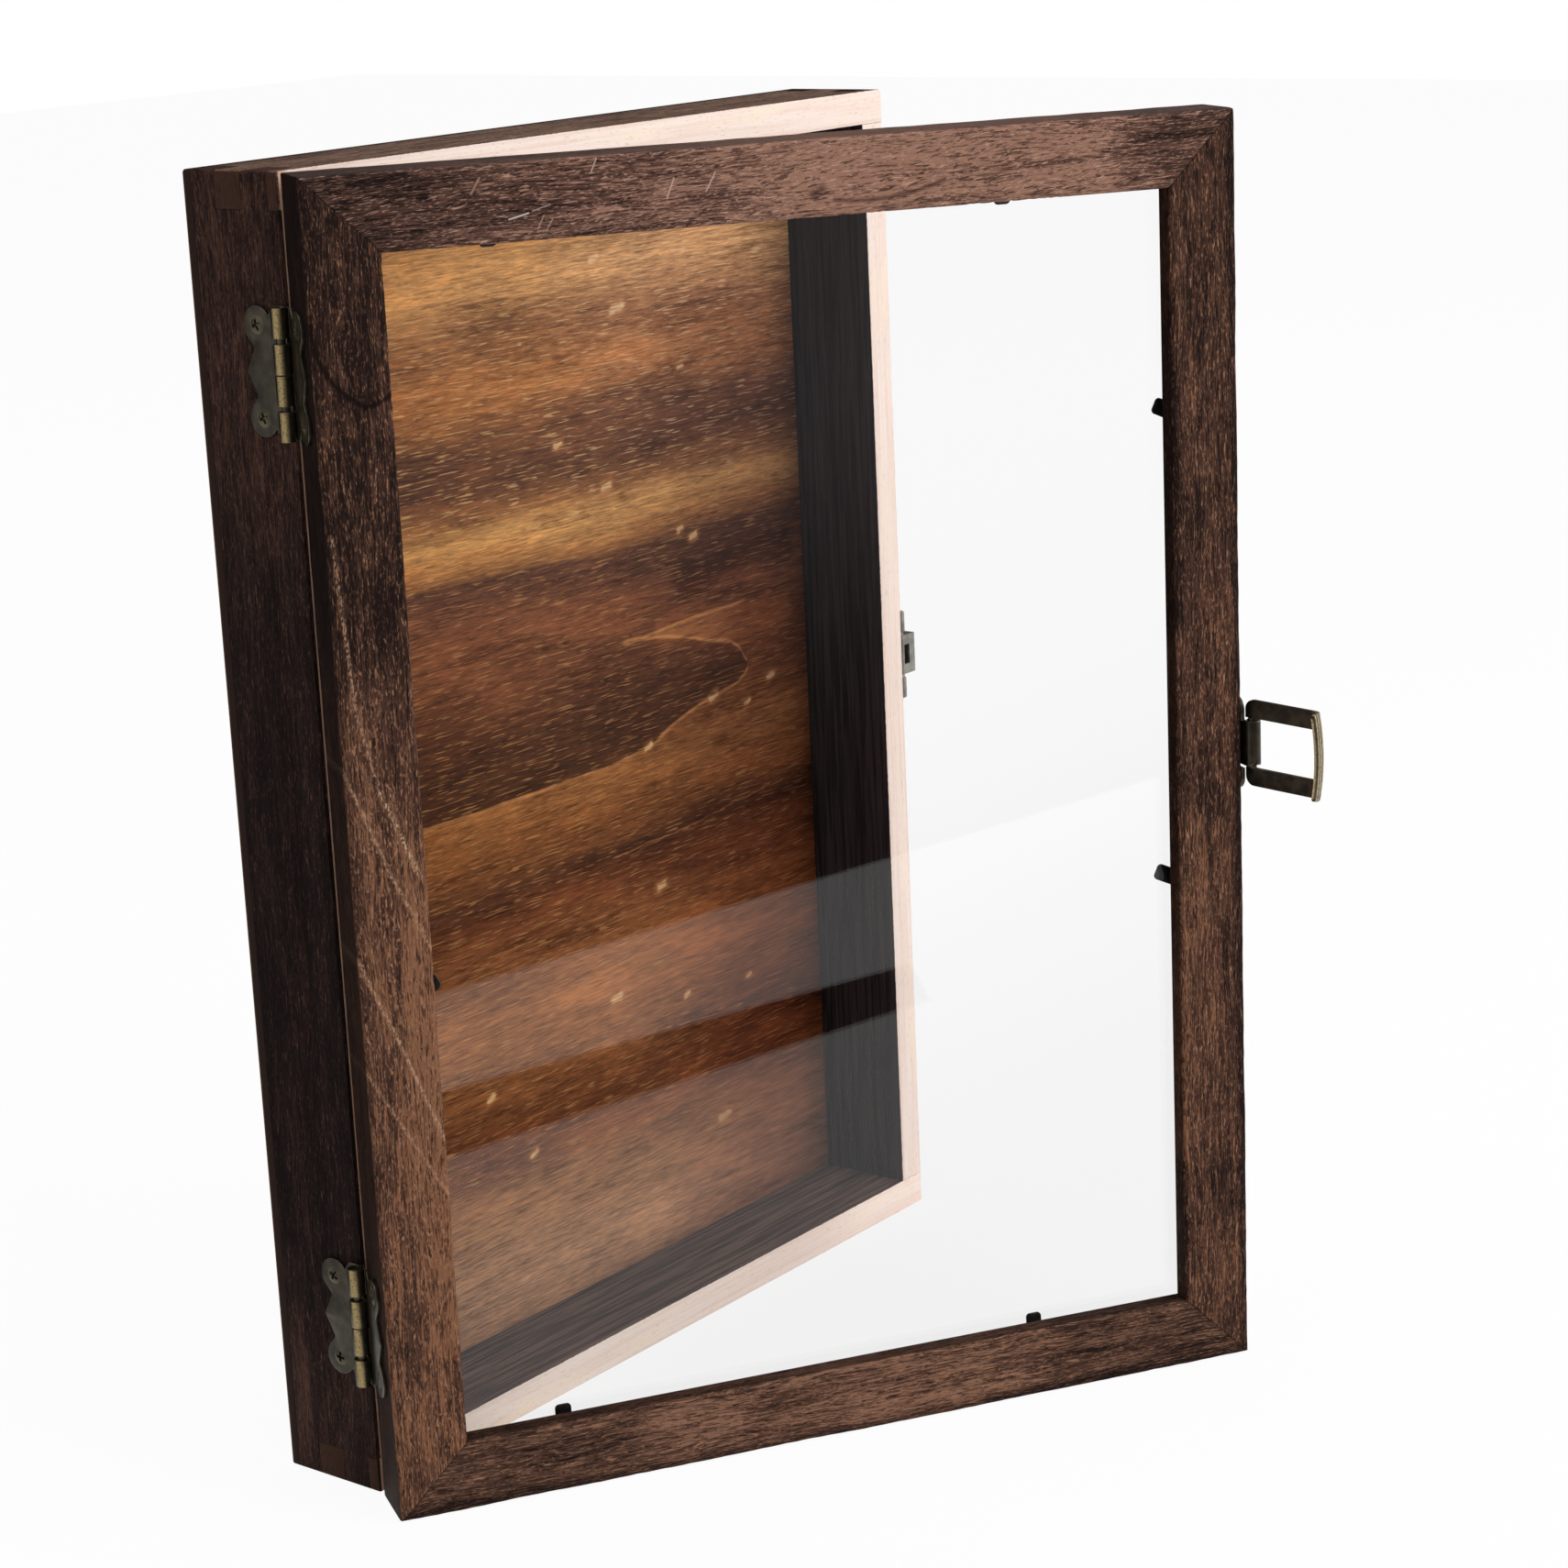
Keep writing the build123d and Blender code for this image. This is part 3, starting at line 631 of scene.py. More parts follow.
def panelMaterial(values):
    # Stained plywood: bands across the height, a dark tongue of grain, pale knots and pore lines
    material, tree, shader = newMaterial("panelVeneer", Specular_IOR_Level=0.06)
    inner = caseHalf - boardThickness * mm
    vector = boardPlace(tree, axisX, -axisZ, (-inner, panelLow.y, caseTop - boardThickness * mm))
    span, rise = 2000 * inner, 1000 * caseTop - 2 * boardThickness
    slow = noise(vector, (75.0, 16.0, 16.0), 2.0)[0] - 0.5
    quick = noise(vector, (16.0, 2.2, 2.2), 3.0)[0] - 0.5
    parts = split(vector)
    right, down, through = parts[0], parts[1], parts[2]
    bands = addNode(tree, "ValToRGB", {0: (down + (slow * 13.0 + quick * 5.0)) / rise})
    stops = bands.node.color_ramp.elements
    rows = list(values["bands"].items())
    stops[0].color, stops[1].color = tone(*rows[0][1]), tone(*rows[-1][1])
    for place, color in rows[1:-1]:
        stops.new(place / rise).color = tone(*color)
    fine = down + quick * 1.6
    top, wedgeTop, wedgeLow, low = (curveLine(right, values[key], span, rise)
                                    for key in ("darkTop", "wedgeTop", "wedgeLow", "tongueLow"))
    below, above = step(fine - top, -0.6, 0.8), step(low - fine, -0.3, 0.4)
    wedge = step(fine - wedgeTop, -0.3, 0.4) * step(wedgeLow - fine, -0.3, 0.4)
    dark = below * above * (1.0 - wedge)
    upper, lower, threads, edge = (tone(*row) for row in values["tongue"])
    tongue = mix(step(fine, 112.0, 146.0), upper, lower)
    tongue = mix(step(quick, -0.05, 0.25) * 0.7, tongue, threads)
    tongue = mix(step(fine - top, 15.0, 1.0) * 0.75, tongue, edge)
    color = mix(dark * 0.92, bands[0], tongue)
    wedge = wedge * (step(right, 126.0, 130.0) * step(right, 176.0, 154.0))
    color = mix(wedge * 0.6, color, tone(*values["wedge"]))
    # pale rims along the tongue's and the wedge's lines, the wedge's only from its tip on
    for line, offset in ((low, 0.35), (wedgeLow, -0.35), (wedgeTop, -0.175)):
        rim = step(abs(fine - (line + offset)), 0.7, 0.1) * step(right, 176.0, 174.0)
        if offset < 0:
            rim = rim * step(right, 124.0, 127.0)
        color = mix(rim * 0.8, color, tone(*values["rim"]))
    wobbled = drift(vector, (5.0, 2.0, 2.0), (1.5, 1.8, 0.0))
    for row in values["lines"]:
        color = mix(stroke(wobbled, row) * 0.8, color, tone(*row["color"]))
    streaks = noise(vector, (30.0, 1.5, 1.5), 5.0, 0.7)[0]
    fibres = noise(vector, (5.5, 0.45, 0.45), 4.0, 0.7)[0]
    clouds = noise(vector, (34.0, 9.0, 9.0), 3.0, 0.6)[0]
    deep, bright = (mix(1.0, color, values[key], "MULTIPLY") for key in ("deep", "bright"))
    weave = streaks * 0.8 + fibres * 1.1 + clouds * 0.7 - 0.8
    for row in values["glows"]:
        weave = weave + stroke(vector, row) * (0.45 * row["shade"])
    color = mix(step(weave, 0.52, 0.22), color, deep)
    color = mix(step(weave, 0.48, 0.80), color, bright)
    frayed = wobbled + (noise(vector, (2.6, 0.9, 0.9), 2.0)[1] - (0.5, 0.5, 0.5)) * (1.6, 1.0, 0.0)
    knots = 0.0
    for x, y, wide in values["knots"]:
        row = {"from": (x - wide * 0.5, y + 0.3), "to": (x + wide * 0.5, y - 0.3), "width": wide}
        knots = calc("MAXIMUM", knots, stroke(frayed, row))
    around, heart = (tone(*row) for row in values["knot"])
    color = mix(knots * 0.6, color, around)
    color = mix(step(knots, 0.6, 1.0) * 0.65, color, heart)
    pores = flecks(vector, 7.6, 0.44, 0.46, 0.4)
    pits = flecks(vector + (7.0, 3.1, 1.7), 8.0, 0.5, 0.62)
    color = mix(pits * 0.45, color, deep)
    higher = step(down, 104.0, 84.0)
    dash = mix(higher, *(tone(*row) for row in values["dash"]))
    color = mix(pores * (0.42 + higher * 0.14), color, dash)
    for tint, across, height in values["tints"]:
        tinted = mix(1.0, color, (*tint, 1.0), "MULTIPLY")
        color = mix(step(right, *across) * step(down, *height), color, tinted)
    back = grained(vector, values["back"])
    middle = (span / 2, rise / 2, 0)
    beyond = split(abs(vector - middle) - middle)
    outside = step(calc("MAXIMUM", beyond[0], beyond[1]), 2.0, 3.0)
    color = mix(outside, color, tone(*values["edge"]))
    put(shader.inputs["Base Color"], mix(step(through, 1.9, 2.2), color, back["Color"]))
    put(shader.inputs["Roughness"], back["Roughness"])
    addBump(shader, fibres - pores * 0.5, 0.00006)
    return material


metalValues = {
    "bronze": {"Old": tone(43, 38, 28), "Rubbed": tone(64, 57, 43), "Bright": tone(160, 138, 94)},
    # the rim tones go on the rounded edges: worn edges, painted brighter as highlights
    "bronzeRimWearAndGlint": {"Old": tone(120, 112, 92), "Rubbed": tone(170, 160, 134), "Bright": tone(200, 190, 162)},
    "catchMetal": {"Old": tone(120, 117, 110), "Rubbed": tone(152, 149, 141),
                   "Bright": tone(160, 156, 146)},
    "catchRimWearAndGlint": {"Old": tone(150, 146, 138), "Rubbed": tone(190, 186, 178), "Bright": tone(200, 196, 188)},
    "ringMetal": {"Old": tone(44, 38, 31), "Rubbed": tone(74, 64, 51), "Bright": tone(208, 188, 146)},
    "screwMetal": {"Old": tone(52, 46, 34), "Rubbed": tone(84, 76, 56), "Bright": tone(170, 156, 120)},
}


def metalMaterial(name, paintedGlint=None, lip=None):
    # Bronze with painted highlights in its Bright tone: down one side of the hinge barrels, and on the
    # crests of the ridges rolled along the ring's lip
    material, tree, shader = newMaterial(name, Metallic=0.7)
    vector = objectPlace(tree)
    values = {"Vector": vector, "Bare": 0.0, **metalValues[name]}
    if paintedGlint:
        away = (vector - paintedGlint["axis"]) * (1, 1, 0)
        reach = calc("LENGTH", away)
        outward = calc("DOT_PRODUCT", away, paintedGlint["toward"]) / reach
        near = step(reach, paintedGlint["reach"] + 0.3, paintedGlint["reach"])
        values["Bare"] = step(outward, 0.8, 1.0) * near
    ridges = 0.0
    if lip:
        away = vector - lip["pivot"]
        along, up = (calc("DOT_PRODUCT", away, lip[key]) for key in ("along", "up"))
        waves = calc("SINE", up * (2 * math.pi / lip["pitch"]))
        ridges = step(along, lip["from"], lip["from"] + 0.8) * step(waves, -0.5, 0.6)
        values["Bare"] = ridges
    patina = useGroup(patinaGroup, values)
    put(shader.inputs["Base Color"], patina["Color"])
    put(shader.inputs["Roughness"], patina["Roughness"])
    addBump(shader, patina["Height"] + ridges * 12.0, 0.00001)
    return material


def tabMaterial():
    # Blackened spring steel with faint lighter patches, partly rub marks and partly painted glints
    material, tree, shader = newMaterial("blackSteel", Specular_IOR_Level=0.25)
    rubs = noise(objectPlace(tree), (1.6, 1.6, 1.6), 4.0)[0]
    put(shader.inputs["Base Color"], mix(step(rubs, 0.5, 0.75), tone(9, 9, 9), tone(26, 25, 24)))
    put(shader.inputs["Roughness"], 0.25 + rubs * 0.3)
    return material


def glassMaterial():
    # Clear pane that lets the lamps through, with a faint trace of wiping
    material, tree, shader = newMaterial("clearGlass", Base_Color=tone(255, 255, 255), IOR=1.37,
                                         Transmission_Weight=1.0)
    smears = noise(objectPlace(tree), (60.0, 60.0, 25.0), 4.0)[0]
    put(shader.inputs["Roughness"], step(smears, 0.55, 0.85) * 0.004)
    path = addNode(tree, "LightPath")
    clear = addNode(tree, "BsdfTransparent", {0: tone(250, 252, 251)})[0]
    lamp = calc("MAXIMUM", path["Is Shadow Ray"], path["Is Diffuse Ray"])
    mixSurface(tree, lamp, shader.outputs[0], clear)
    return material


hingeAxis = tuple(1000 * doorPivot)
# the barrels' painted highlight: the side it faces from the hinge axis and its reach
barrelGlint = {"axis": hingeAxis, "toward": (-0.93, -0.36, 0.0), "reach": 2.2}
ringLip = {"pivot": tuple(1000 * ringPivot), "along": tuple(ringAlong), "up": tuple(ringUp),
           "from": 18.4, "pitch": 0.95}
metals = {name: metalMaterial(name) for name in metalValues if name not in ("bronze", "ringMetal")}
metals["bronze"] = metalMaterial("bronze", barrelGlint)
metals["ringMetal"] = metalMaterial("ringMetal", lip=ringLip)
panelVeneer, blackSteel, clearGlass = panelMaterial(panelValues), tabMaterial(), glassMaterial()
print("panel, metal and glass made")


softened = 35  # degrees: edges sharper than this are bevelled and stay crisp


def finishPiece(mesh, name, body, replaced, materials):
    for material in materials:
        mesh.materials.append(material)
    mesh.shade_smooth()
    mesh.set_sharp_from_angle(angle=math.radians(softened))
    piece = linked(name, mesh)
    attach(piece, body)
    if replaced:
        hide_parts(*replaced)
    return piece


def ringLipCut(form, values):
    # The long upright edges of the ring's lip, cut into short lengths so that it can bow
    low, high = (corner.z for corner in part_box("latch_ring"))
    long = [e for e in form.edges if abs((e.verts[0].co - e.verts[1].co).z) > 0.4 * (high - low)
            and min((v.co - ringPivot).dot(ringAlong) for v in e.verts) > values["bowFrom"] * mm]
    bmesh.ops.subdivide_edges(form, edges=long, cuts=values["cuts"], use_grid_fill=True)


def ringLipBow(form, values):
    # The lip bowed outwards as a parabola of its height
    low, high = (corner.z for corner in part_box("latch_ring"))
    middle, half = (low + high) / 2, (high - low) / 2
    for vert in form.verts:
        away = (vert.co - ringPivot).dot(ringAlong) / mm
        share = float(ease(away, values["bowFrom"], values["bowFull"]))
        vert.co += ringAlong * (values["bow"] * mm * share * (1 - ((vert.co.z - middle) / half) ** 2))


def nodePoints(node):
    points = np.zeros(len(nodes[node].data.vertices) * 3)
    nodes[node].data.vertices.foreach_get("co", points)
    return points.reshape(-1, 3)


def bevelledCopy(node, ending, width, materials, slot, bow=None):
    # A merged copy of a CAD node with its sharp edges rounded; the rounds take the last material
    mesh = bpy.data.meshes.new(node + ending)
    mesh.from_pydata(nodePoints(node).tolist(), [], [tuple(p.vertices) for p in nodes[node].data.polygons])
    form = bmesh.new()
    form.from_mesh(mesh)
    bmesh.ops.remove_doubles(form, verts=form.verts, dist=2e-6)
    bmesh.ops.dissolve_limit(form, angle_limit=math.radians(0.5), verts=form.verts, edges=form.edges)
    if bow:
        ringLipCut(form, bow)
    sharp = [e for e in form.edges if e.is_manifold and e.calc_face_angle(0) > math.radians(softened)]
    bmesh.ops.bevel(form, geom=sharp, offset=width * mm, offset_type="OFFSET", segments=2,
                    profile=0.5, affect="EDGES", clamp_overlap=True, material=len(materials) - 1)
    if bow:
        ringLipBow(form, bow)
    bmesh.ops.triangulate(form, faces=form.faces)
    form.to_mesh(mesh)
    form.free()
    return finishPiece(mesh, node + ending, nodes[node]["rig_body"], [node], materials)


def loopSurface(rows, closeEnds=True):
    # Rows of points, each a closed loop, joined into quads as one array, with flat ends
    count, around = rows.shape[:2]
    index = np.arange(count * around).reshape(count, around)
    turned = np.roll(index, -1, 1)
    quads = np.stack((index[:-1], turned[:-1], turned[1:], index[1:]), -1).reshape(-1, 4).tolist()
    ends = [index[0][::-1].tolist(), index[-1].tolist()] if closeEnds else []
    return rows.reshape(-1, 3), quads + ends


def joinedMesh(name, parts):
    # Several surfaces as one mesh, welded, with every face turned outwards
    mesh = bpy.data.meshes.new(name)
    points, faces, base = [], [], 0
    for partPoints, partFaces in parts:
        points.append(partPoints)
        faces += [[base + i for i in face] for face in partFaces]
        base += len(partPoints)
    mesh.from_pydata((np.concatenate(points) * mm).tolist(), [], faces)
    form = bmesh.new()
    form.from_mesh(mesh)
    bmesh.ops.remove_doubles(form, verts=form.verts, dist=1e-7)
    bmesh.ops.recalc_face_normals(form, faces=form.faces)
    form.to_mesh(mesh)
    form.free()
    return mesh


def swung(points, angle):
    # Points in millimetres, turned about the door's hinge
    pivot = np.array(doorPivot) * 1000
    return (points - pivot) @ np.array(Matrix.Rotation(angle, 3, "Z")).T + pivot


doorValues = {
    "thickness": 16.0, "width": 17.0, "lip": 5.3, "wall": 12.0,
    "rounds": (1.2, 0.9, 0.0, 0.0, 0.0, 0.6),  # outer front, sight edge, lip back, rebate, back, outer back
    "pitch": 0.9, "nick": {"door_left_stile": 0.22, "door_top_rail": 0.25, "door_right_stile": 0.6,
                           "door_bottom_rail": 0.28},
    "wear": 0.16, "sideWear": 0.09, "relief": 0.035, "mitreGroove": 0.14, "grooveReach": 0.18,
    # millimetres between the random heights of the nicks, the rubs, the sides and the ridges
    "nickPitches": (2.6, 0.9), "rubPitches": (9.0, 2.2), "sidePitch": 6.0, "ridgePitches": (22.0, 14.0),
}


def roundedSection(corners, radii, pitch):
    # Closed outline through the corners: straight runs cut every pitch, corners as arcs
    corners = np.array(corners, float)
    outline = []
    for i, (corner, radius) in enumerate(zip(corners, radii)):
        before = corners[i - 1] - corner
        after = corners[(i + 1) % len(corners)] - corner
        before, after = before / np.linalg.norm(before), after / np.linalg.norm(after)
        share = np.linspace(0, math.pi / 2, 6)[:, None] if radius else np.zeros((1, 1))
        centre = corner + (before + after) * radius
        outline.append(centre - after * radius * np.cos(share) - before * radius * np.sin(share))
        nextRadius = radii[(i + 1) % len(corners)]
        first = corner + after * radius
        length = np.linalg.norm(corners[(i + 1) % len(corners)] - corner) - radius - nextRadius
        steps = np.linspace(0, length, max(2, int(length / pitch) + 1))[1:-1, None]
        outline.append(first + after * steps)
    return np.concatenate(outline)


def wander(along, pitch, seed):
    # Smooth random height along a line: random knots every pitch, eased from one to the next
    knots = np.random.default_rng(seed).uniform(-1, 1, int(along.max() / pitch) + 3)
    place = np.clip(along / pitch, 0, None)
    low = place.astype(int)
    share = ease(place - low, 0, 1)
    return knots[low] * (1 - share) + knots[low + 1] * share


def ease(value, low, high):
    share = np.clip((value - low) / (high - low), 0, 1)
    return share * share * (3 - 2 * share)


def doorMember(name, corner, inward, along, length, seed):
    # The worn section carried along the member, each end cut on its mitre: the place along the
    # member is inward + (length - 2 inward) * share
    values = doorValues
    width, deep, lip, wall = values["width"], values["thickness"], values["lip"], values["wall"]
    corners = [(0, 0), (width, 0), (width, lip), (wall, lip), (wall, deep), (0, deep)]
    section = roundedSection(corners, values["rounds"], 1.1)
    count = int(length / values["pitch"])
    share = np.concatenate(([0, 0.0006, 0.0013, 0.0025], np.linspace(0.006, 0.994, count),
                            [0.9975, 0.9987, 0.9994, 1]))
    across, depth = (np.broadcast_to(section[:, i], (len(share), len(section))).copy() for i in (0, 1))
    run = across + (length - 2 * across) * share[:, None]
    slow, quick = values["nickPitches"]
    bite = np.clip(wander(run, slow, seed) * 0.6 + wander(run, quick, seed + 1) * 0.6 - 0.1, 0, None)
    sight = ease(across, width - 1.6, width) * ease(depth, lip + 0.1, 1.2)
    across -= values["nick"][name] * bite * sight
    slow, quick = values["rubPitches"]
    rubs = wander(run, slow, seed + 2) * 0.6 + wander(run, quick, seed + 3) * 0.4
    outer = ease(across, 2.4, 0.0) * ease(depth, 3.0, 0.0)
    across += values["wear"] * (0.5 + rubs) * outer
    depth += values["wear"] * (0.5 + np.roll(rubs, 7, 0)) * outer
    sides = ease(across, 0.6, 0.0)
    across += values["sideWear"] * (0.5 + 0.5 * wander(run, values["sidePitch"], seed + 4)) * sides
    front = ease(depth, 0.5, 0.0)
    slow, quick = values["ridgePitches"]
    ridge = np.sin(across * 2.3 + wander(run, slow, seed + 5) * 3.0) * wander(run, quick, seed + 6)
    depth += values["relief"] * (1 + ridge) * front
    ends = np.exp(-np.minimum(share, 1 - share) * length / values["grooveReach"])[:, None]
    ends = ends * values["mitreGroove"]
    depth += ends * ease(depth, 2.0, 0.0)
    across += ends * ease(across, 1.2, 0.0)
    run = across + (length - 2 * across) * share[:, None]
    corner, inward, along = (np.array(v, float) for v in (corner, inward, along))
    rows = (corner + across[..., None] * inward + depth[..., None] * np.array((0, 1, 0))
            + run[..., None] * along)
    mesh = joinedMesh(name + "_worn", [loopSurface(swung(rows, doorTurn))])
    return finishPiece(mesh, name + "_worn", "door", [name], [woods[name]])


half, top, front = caseHalf * 1000, caseTop * 1000, doorFront * 1000
doorMember("door_left_stile", (-half, front, top), (1, 0, 0), (0, 0, -1), top, 11)
doorMember("door_right_stile", (half, front, top), (-1, 0, 0), (0, 0, -1), top, 23)
doorMember("door_top_rail", (-half, front, top), (0, 0, -1), (1, 0, 0), 2 * half, 37)
doorMember("door_bottom_rail", (-half, front, 0), (0, 0, 1), (1, 0, 0), 2 * half, 41)
print("door frame made")


for side in ("top", "bottom", "left", "right"):
    node = "case_" + side + "_board"
    bevelledCopy(node, "_sanded", 0.22, [woods[node]], "dark_wood")
bevelledCopy("back_panel", "_veneered", 0.2, [panelVeneer], "panel_wood")
print("case boards made")


ringValues = {"bow": 1.1, "bowFrom": 16.6, "bowFull": 18.4, "cuts": 12}
# the second material takes the rounds: worn edges with painted highlights
plated = [metals["bronze"], metals["bronzeRimWearAndGlint"]]
hinges = [level + "_hinge_" + side for level in ("upper", "lower") for side in ("case", "door")]
hardwareValues = {  # the new name's ending, the width of the rounds, the materials and the slot
    **{name + "_leaf": ("_plated", 0.14, plated, "bronze") for name in hinges},
    "latch_ring": ("_plated", 0.2, [metals["ringMetal"], metals["bronzeRimWearAndGlint"]], "bronze", ringValues),
    "latch_plate": ("_plated", 0.14, plated, "bronze"),
    "latch_catch": ("_plated", 0.12, [metals["catchMetal"], metals["catchRimWearAndGlint"]], "bronze"),
    "glazing_tabs": ("_bent", 0.1, [blackSteel], "black_steel"),
}
for node, row in hardwareValues.items():
    bevelledCopy(node, *row)
for level in ("upper", "lower"):
    pin = nodes[level + "_hinge_pin"]
    pin.data.materials.clear()
    pin.data.materials.append(metals["screwMetal"])
nodes["glass_pane"].data.materials.clear()
nodes["glass_pane"].data.materials.append(clearGlass)

screwValues = {"crown": 0.32, "rim": 0.12, "recessDepth": 0.75, "shank": 1.1, "length": 7.4,
               "barSide": (0.19, 0.12), "barEnd": (0.66, 0.56),
               "lines": (0, 0.10, 0.15, 0.19, 0.28, 0.42, 0.55, 0.60, 0.66, 0.76, 0.87, 0.95, 1.0)}


def crossScrew(radius, values):
    # Head over a square grid laid onto a disc: x = u sqrt(1 - v v / 2), y = v sqrt(1 - u u / 2);
    # its height is crown (1 - r r) less a cross of two soft-walled bars. Below it a countersunk
    # shank follows the rim's own loop inwards and down.
    half = np.array(values["lines"])
    line = np.concatenate((-half[:0:-1], half))
    u, v = np.meshgrid(line, line, indexing="ij")
    x, y = u * np.sqrt(1 - v * v / 2), v * np.sqrt(1 - u * u / 2)
    across, along = np.abs(u), np.abs(v)
    side, end = values["barSide"], values["barEnd"]
    bar = np.maximum(ease(across, *side) * ease(along, *end), ease(along, *side) * ease(across, *end))
    reach = np.sqrt(x * x + y * y)
    height = values["crown"] * (1 - reach ** 2) - values["recessDepth"] * bar * (1 - 0.4 * reach)
    cap = np.stack((x * radius, y * radius, height), -1)
    count = len(line)
    index = np.arange(count * count).reshape(count, count)
    quads = np.stack((index[:-1, :-1], index[1:, :-1], index[1:, 1:], index[:-1, 1:]), -1).reshape(-1, 4)
    loop = np.concatenate((index[0, :-1], index[:-1, -1], index[-1, :0:-1], index[:0:-1, 0]))
    rim = cap.reshape(-1, 3)[loop]
    way = rim[:, :2] / radius
    drops = [(radius, -values["rim"]), (values["shank"], values["shank"] - radius - values["rim"]),
             (values["shank"], -values["length"])]
    rows = [rim] + [np.column_stack((way * r, np.full(len(way), z))) for r, z in drops]
    points, faces = loopSurface(np.stack(rows), False)
    faces.append(list(range(len(points) - len(way), len(points))))
    return [(cap.reshape(-1, 3), quads.tolist()), (points, faces)]


def screwPair(node, out, turns):
    # Two screws at the seats of a CAD pair, each turned by its own angle, heads towards out along X;
    # the door's are placed with the door shut
    body = nodes[node]["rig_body"]
    turnBack = doorTurn if body == "door" else 0.0
    points = swung(nodePoints(node) * 1000, -turnBack)
    low, high = points.min(0), points.max(0)
    radius = (high[1] - low[1]) / 2
    face = high[0] if out > 0 else low[0]
    parts = []
    for z, turn in zip((low[2] + radius, high[2] - radius), turns):
        c, s = math.cos(turn), math.sin(turn)
        for points, faces in crossScrew(radius, screwValues):
            a = points[:, 0] * c - points[:, 1] * s
            b = points[:, 0] * s + points[:, 1] * c
            placed = np.column_stack((face + out * points[:, 2], (low[1] + high[1]) / 2 + a, z + b))
            parts.append((swung(placed, turnBack), faces))
    mesh = joinedMesh(node + "_turned", parts)
    finishPiece(mesh, node + "_turned", body, [node], [metals["screwMetal"]])


screwTurns = np.random.default_rng(5).uniform(0, math.pi / 2, (6, 2))
screwNodes = [(name + "_screws", -1) for name in hinges]
screwNodes += [("latch_plate_screws", 1), ("latch_catch_screws", 1)]
for (node, out), turns in zip(screwNodes, screwTurns):
    screwPair(node, out, turns)
print("hardware made")


lightValues = {
    "fillStrength": 0.45, "keyPower": 26.0, "keySize": 1.3, "keyPlace": (0.55, -1.7, 1.3),
    "topPower": 9.0, "topSize": 1.4, "topPlace": (-0.1, 0.1, 1.9), "floorGlow": 0.94,
    "roomGlow": 0.3, "paneShade": 0.1, "aim": (0, 0, 0.15), "floorReach": 4,
    # dark cards that only reflections see: one behind, the room beyond the table, a gap across it
    "flags": {
        "backFlag": [(-0.6, 0.9, 0), (2.2, 0.9, 0), (2.2, 0.9, 2.5), (-0.6, 0.9, 2.5)],
        "groundFlag": [(-0.2, 0.1, 0.0005), (1.2, 0.1, 0.0005), (1.2, 0.9, 0.0005), (-0.2, 0.9, 0.0005)],
        "roomFlag": [(-0.42, -0.12, 0), (0.36, -1.19, 0), (0.36, -1.19, 2.5), (-0.42, -0.12, 2.5)],
        "tableFlag": [(-0.188, -0.302, 0.0005), (-0.0636, -0.44, 0.0005), (-0.0508, -0.4019, 0.0005),
                      (-0.1695, -0.2465, 0.0005)],
    },
}


def flatPiece(name, corners):
    mesh = bpy.data.meshes.new(name)
    mesh.from_pydata(corners, [], [tuple(range(len(corners)))])
    piece = linked(name, mesh)
    return piece


def seenDirectly(tree):
    # 1 for rays from the camera and for those that metal and glass send on
    path = addNode(tree, "LightPath")
    return calc("MAXIMUM", path["Is Camera Ray"],
                calc("MAXIMUM", path["Is Glossy Ray"], path["Is Transmission Ray"]))


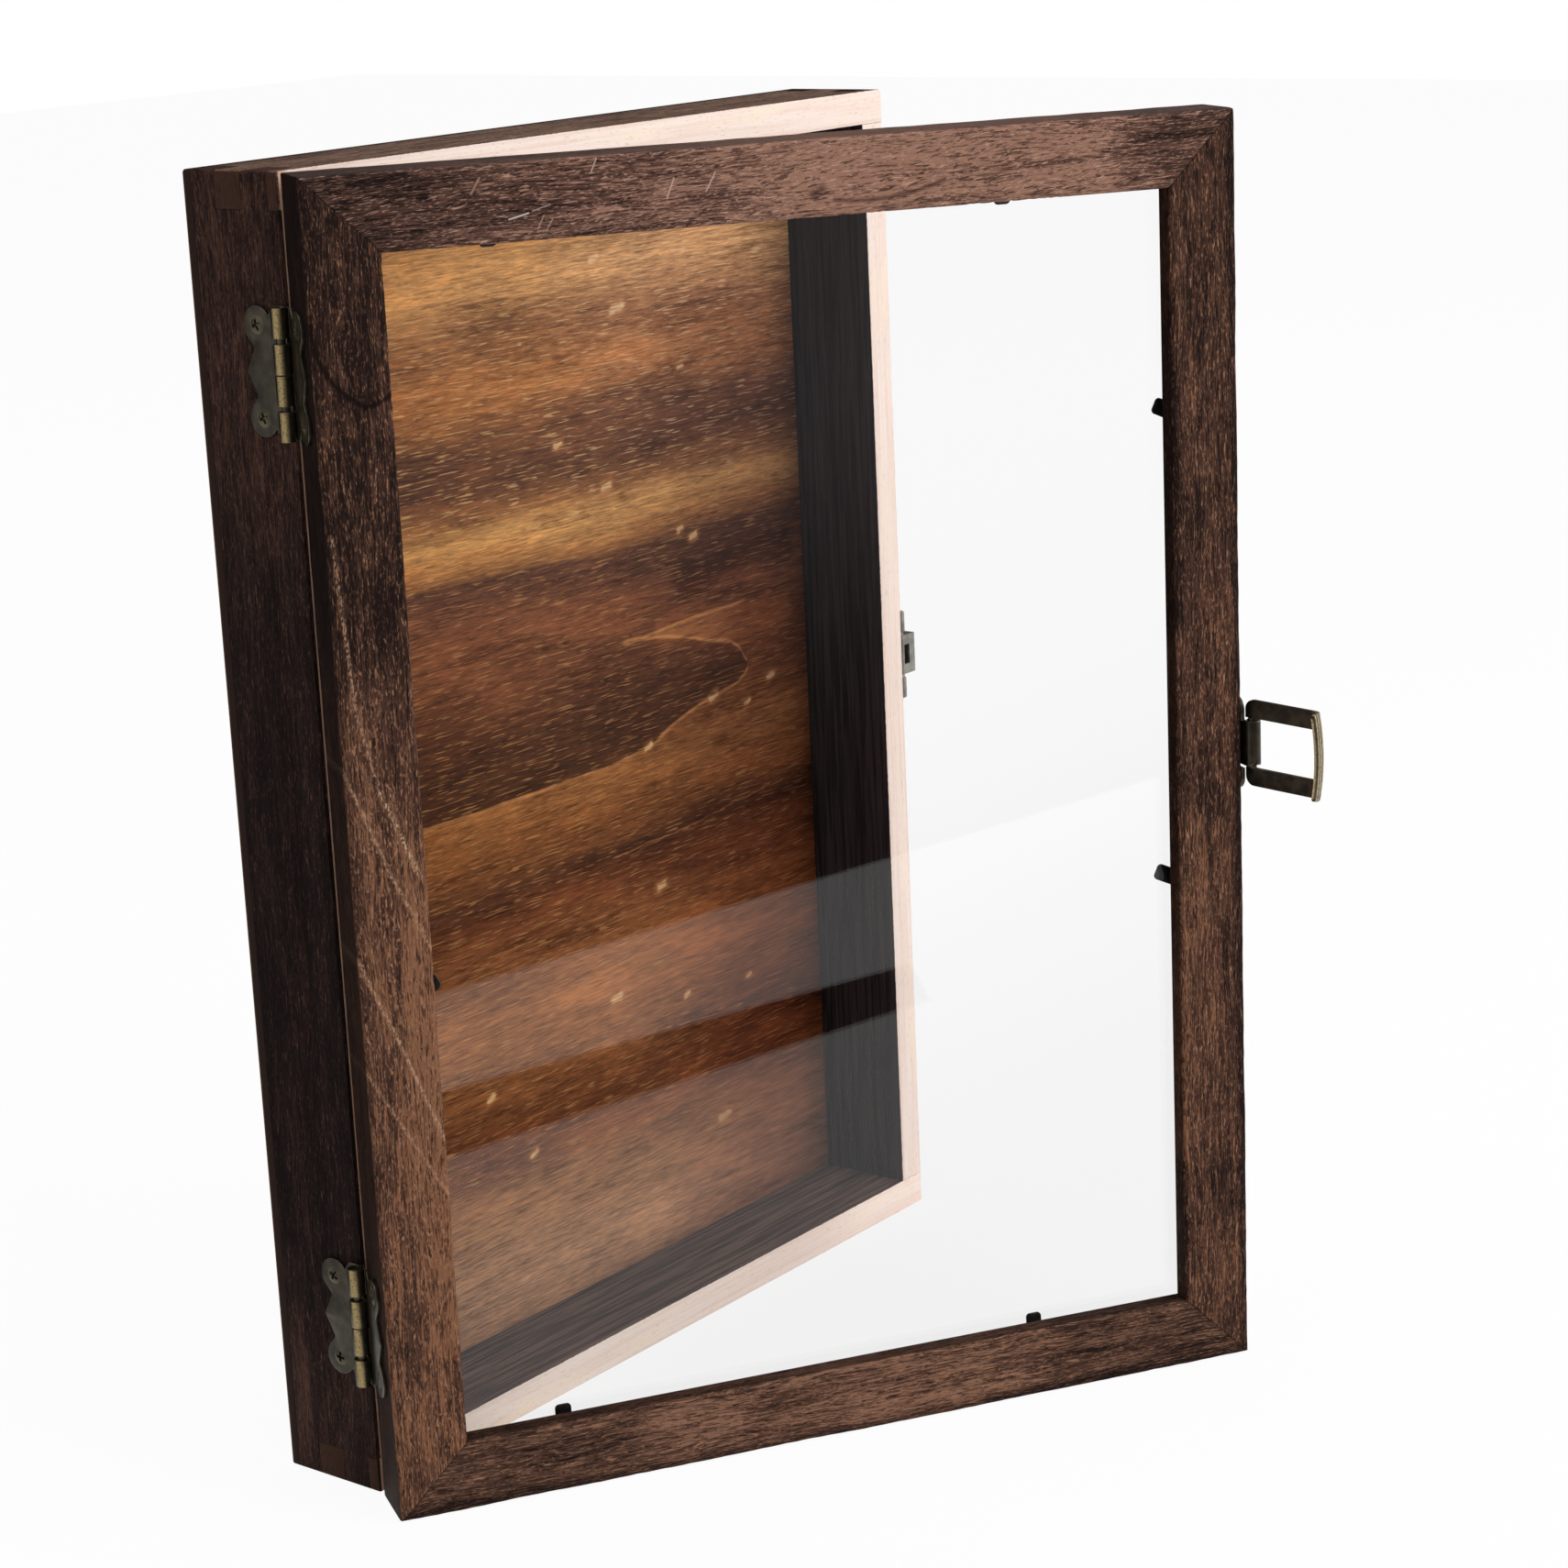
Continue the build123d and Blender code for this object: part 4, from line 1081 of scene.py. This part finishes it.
def floorMaterial(values):
    # Pale floor that keeps the shadow, and glows for rays that see it directly; through the pane it
    # is a little darker toward the front
    material, tree, shader = newMaterial("paleFloor", Base_Color=tone(246, 246, 246), Roughness=0.9,
                                         Specular_IOR_Level=0.1)
    near = step(split(objectPlace(tree))[1], 340.0, -60.0)
    behindPane = near * addNode(tree, "LightPath")["Is Transmission Ray"]
    glow = addNode(tree, "Emission", {
        "Color": (1, 1, 1, 1), "Strength": 1.0 - behindPane * values["paneShade"]})
    mixSurface(tree, seenDirectly(tree) * values["floorGlow"], shader.outputs[0], glow[0])
    return material


def flagMaterial(values):
    # Dark for mirrored rays, also for those mirrored inside the pane, and clear for all others; a faint
    # glowing strip low on the cards paints a pale reflection
    material, tree, shader = newMaterial("darkFlag", Base_Color=tone(16, 16, 17), Roughness=1.0,
                                         Specular_IOR_Level=0.0, Emission_Color=(0.92, 0.95, 1.0, 1.0))
    place = split(objectPlace(tree))
    lit = step(place[2], 40.0, 190.0) * step(place[1], 600.0, 0.0)
    put(shader.inputs["Emission Strength"], lit * values["roomGlow"])
    path = addNode(tree, "LightPath")
    inPane = calc("GREATER_THAN", path["Ray Depth"], 2.5)
    mirrored = calc("MAXIMUM", 1.0 - path["Is Transmission Ray"], inPane)
    mixSurface(tree, mirrored, addNode(tree, "BsdfTransparent")[0], shader.outputs[0])
    return material


def makeStage(values):
    reach = values["floorReach"]
    corners = [(x * reach, y * reach, 0) for x, y in ((-1, -1), (1, -1), (1, 1), (-1, 1))]
    floor = flatPiece("floor", corners)
    floor.data.materials.append(floorMaterial(values))
    flag = flagMaterial(values)
    for name, corners in values["flags"].items():
        piece = flatPiece(name, corners)
        piece.data.materials.append(flag)
        piece.visible_camera = piece.visible_diffuse = False
        piece.visible_shadow = piece.visible_volume_scatter = False
    world = bpy.data.worlds.new("studio")
    bpy.context.scene.world = world
    world.use_nodes = True
    tree = world.node_tree
    background = tree.nodes["Background"].inputs
    put(background["Color"], (1, 1, 1, 1))
    fill = values["fillStrength"]
    put(background["Strength"], fill + seenDirectly(tree) * (1.0 - fill))
    for key in ("key", "top"):
        data = bpy.data.lights.new(key + "Light", "AREA")
        data.energy, data.size = values[key + "Power"], values[key + "Size"]
        lamp = linked(key + "Light", data)
        lamp.location = values[key + "Place"]
        aim = Vector(values["aim"]) - lamp.location
        lamp.rotation_euler = aim.to_track_quat("-Z", "Y").to_euler()
    bpy.context.scene.view_settings.view_transform = "Standard"


makeStage(lightValues)
print("stage and light made")
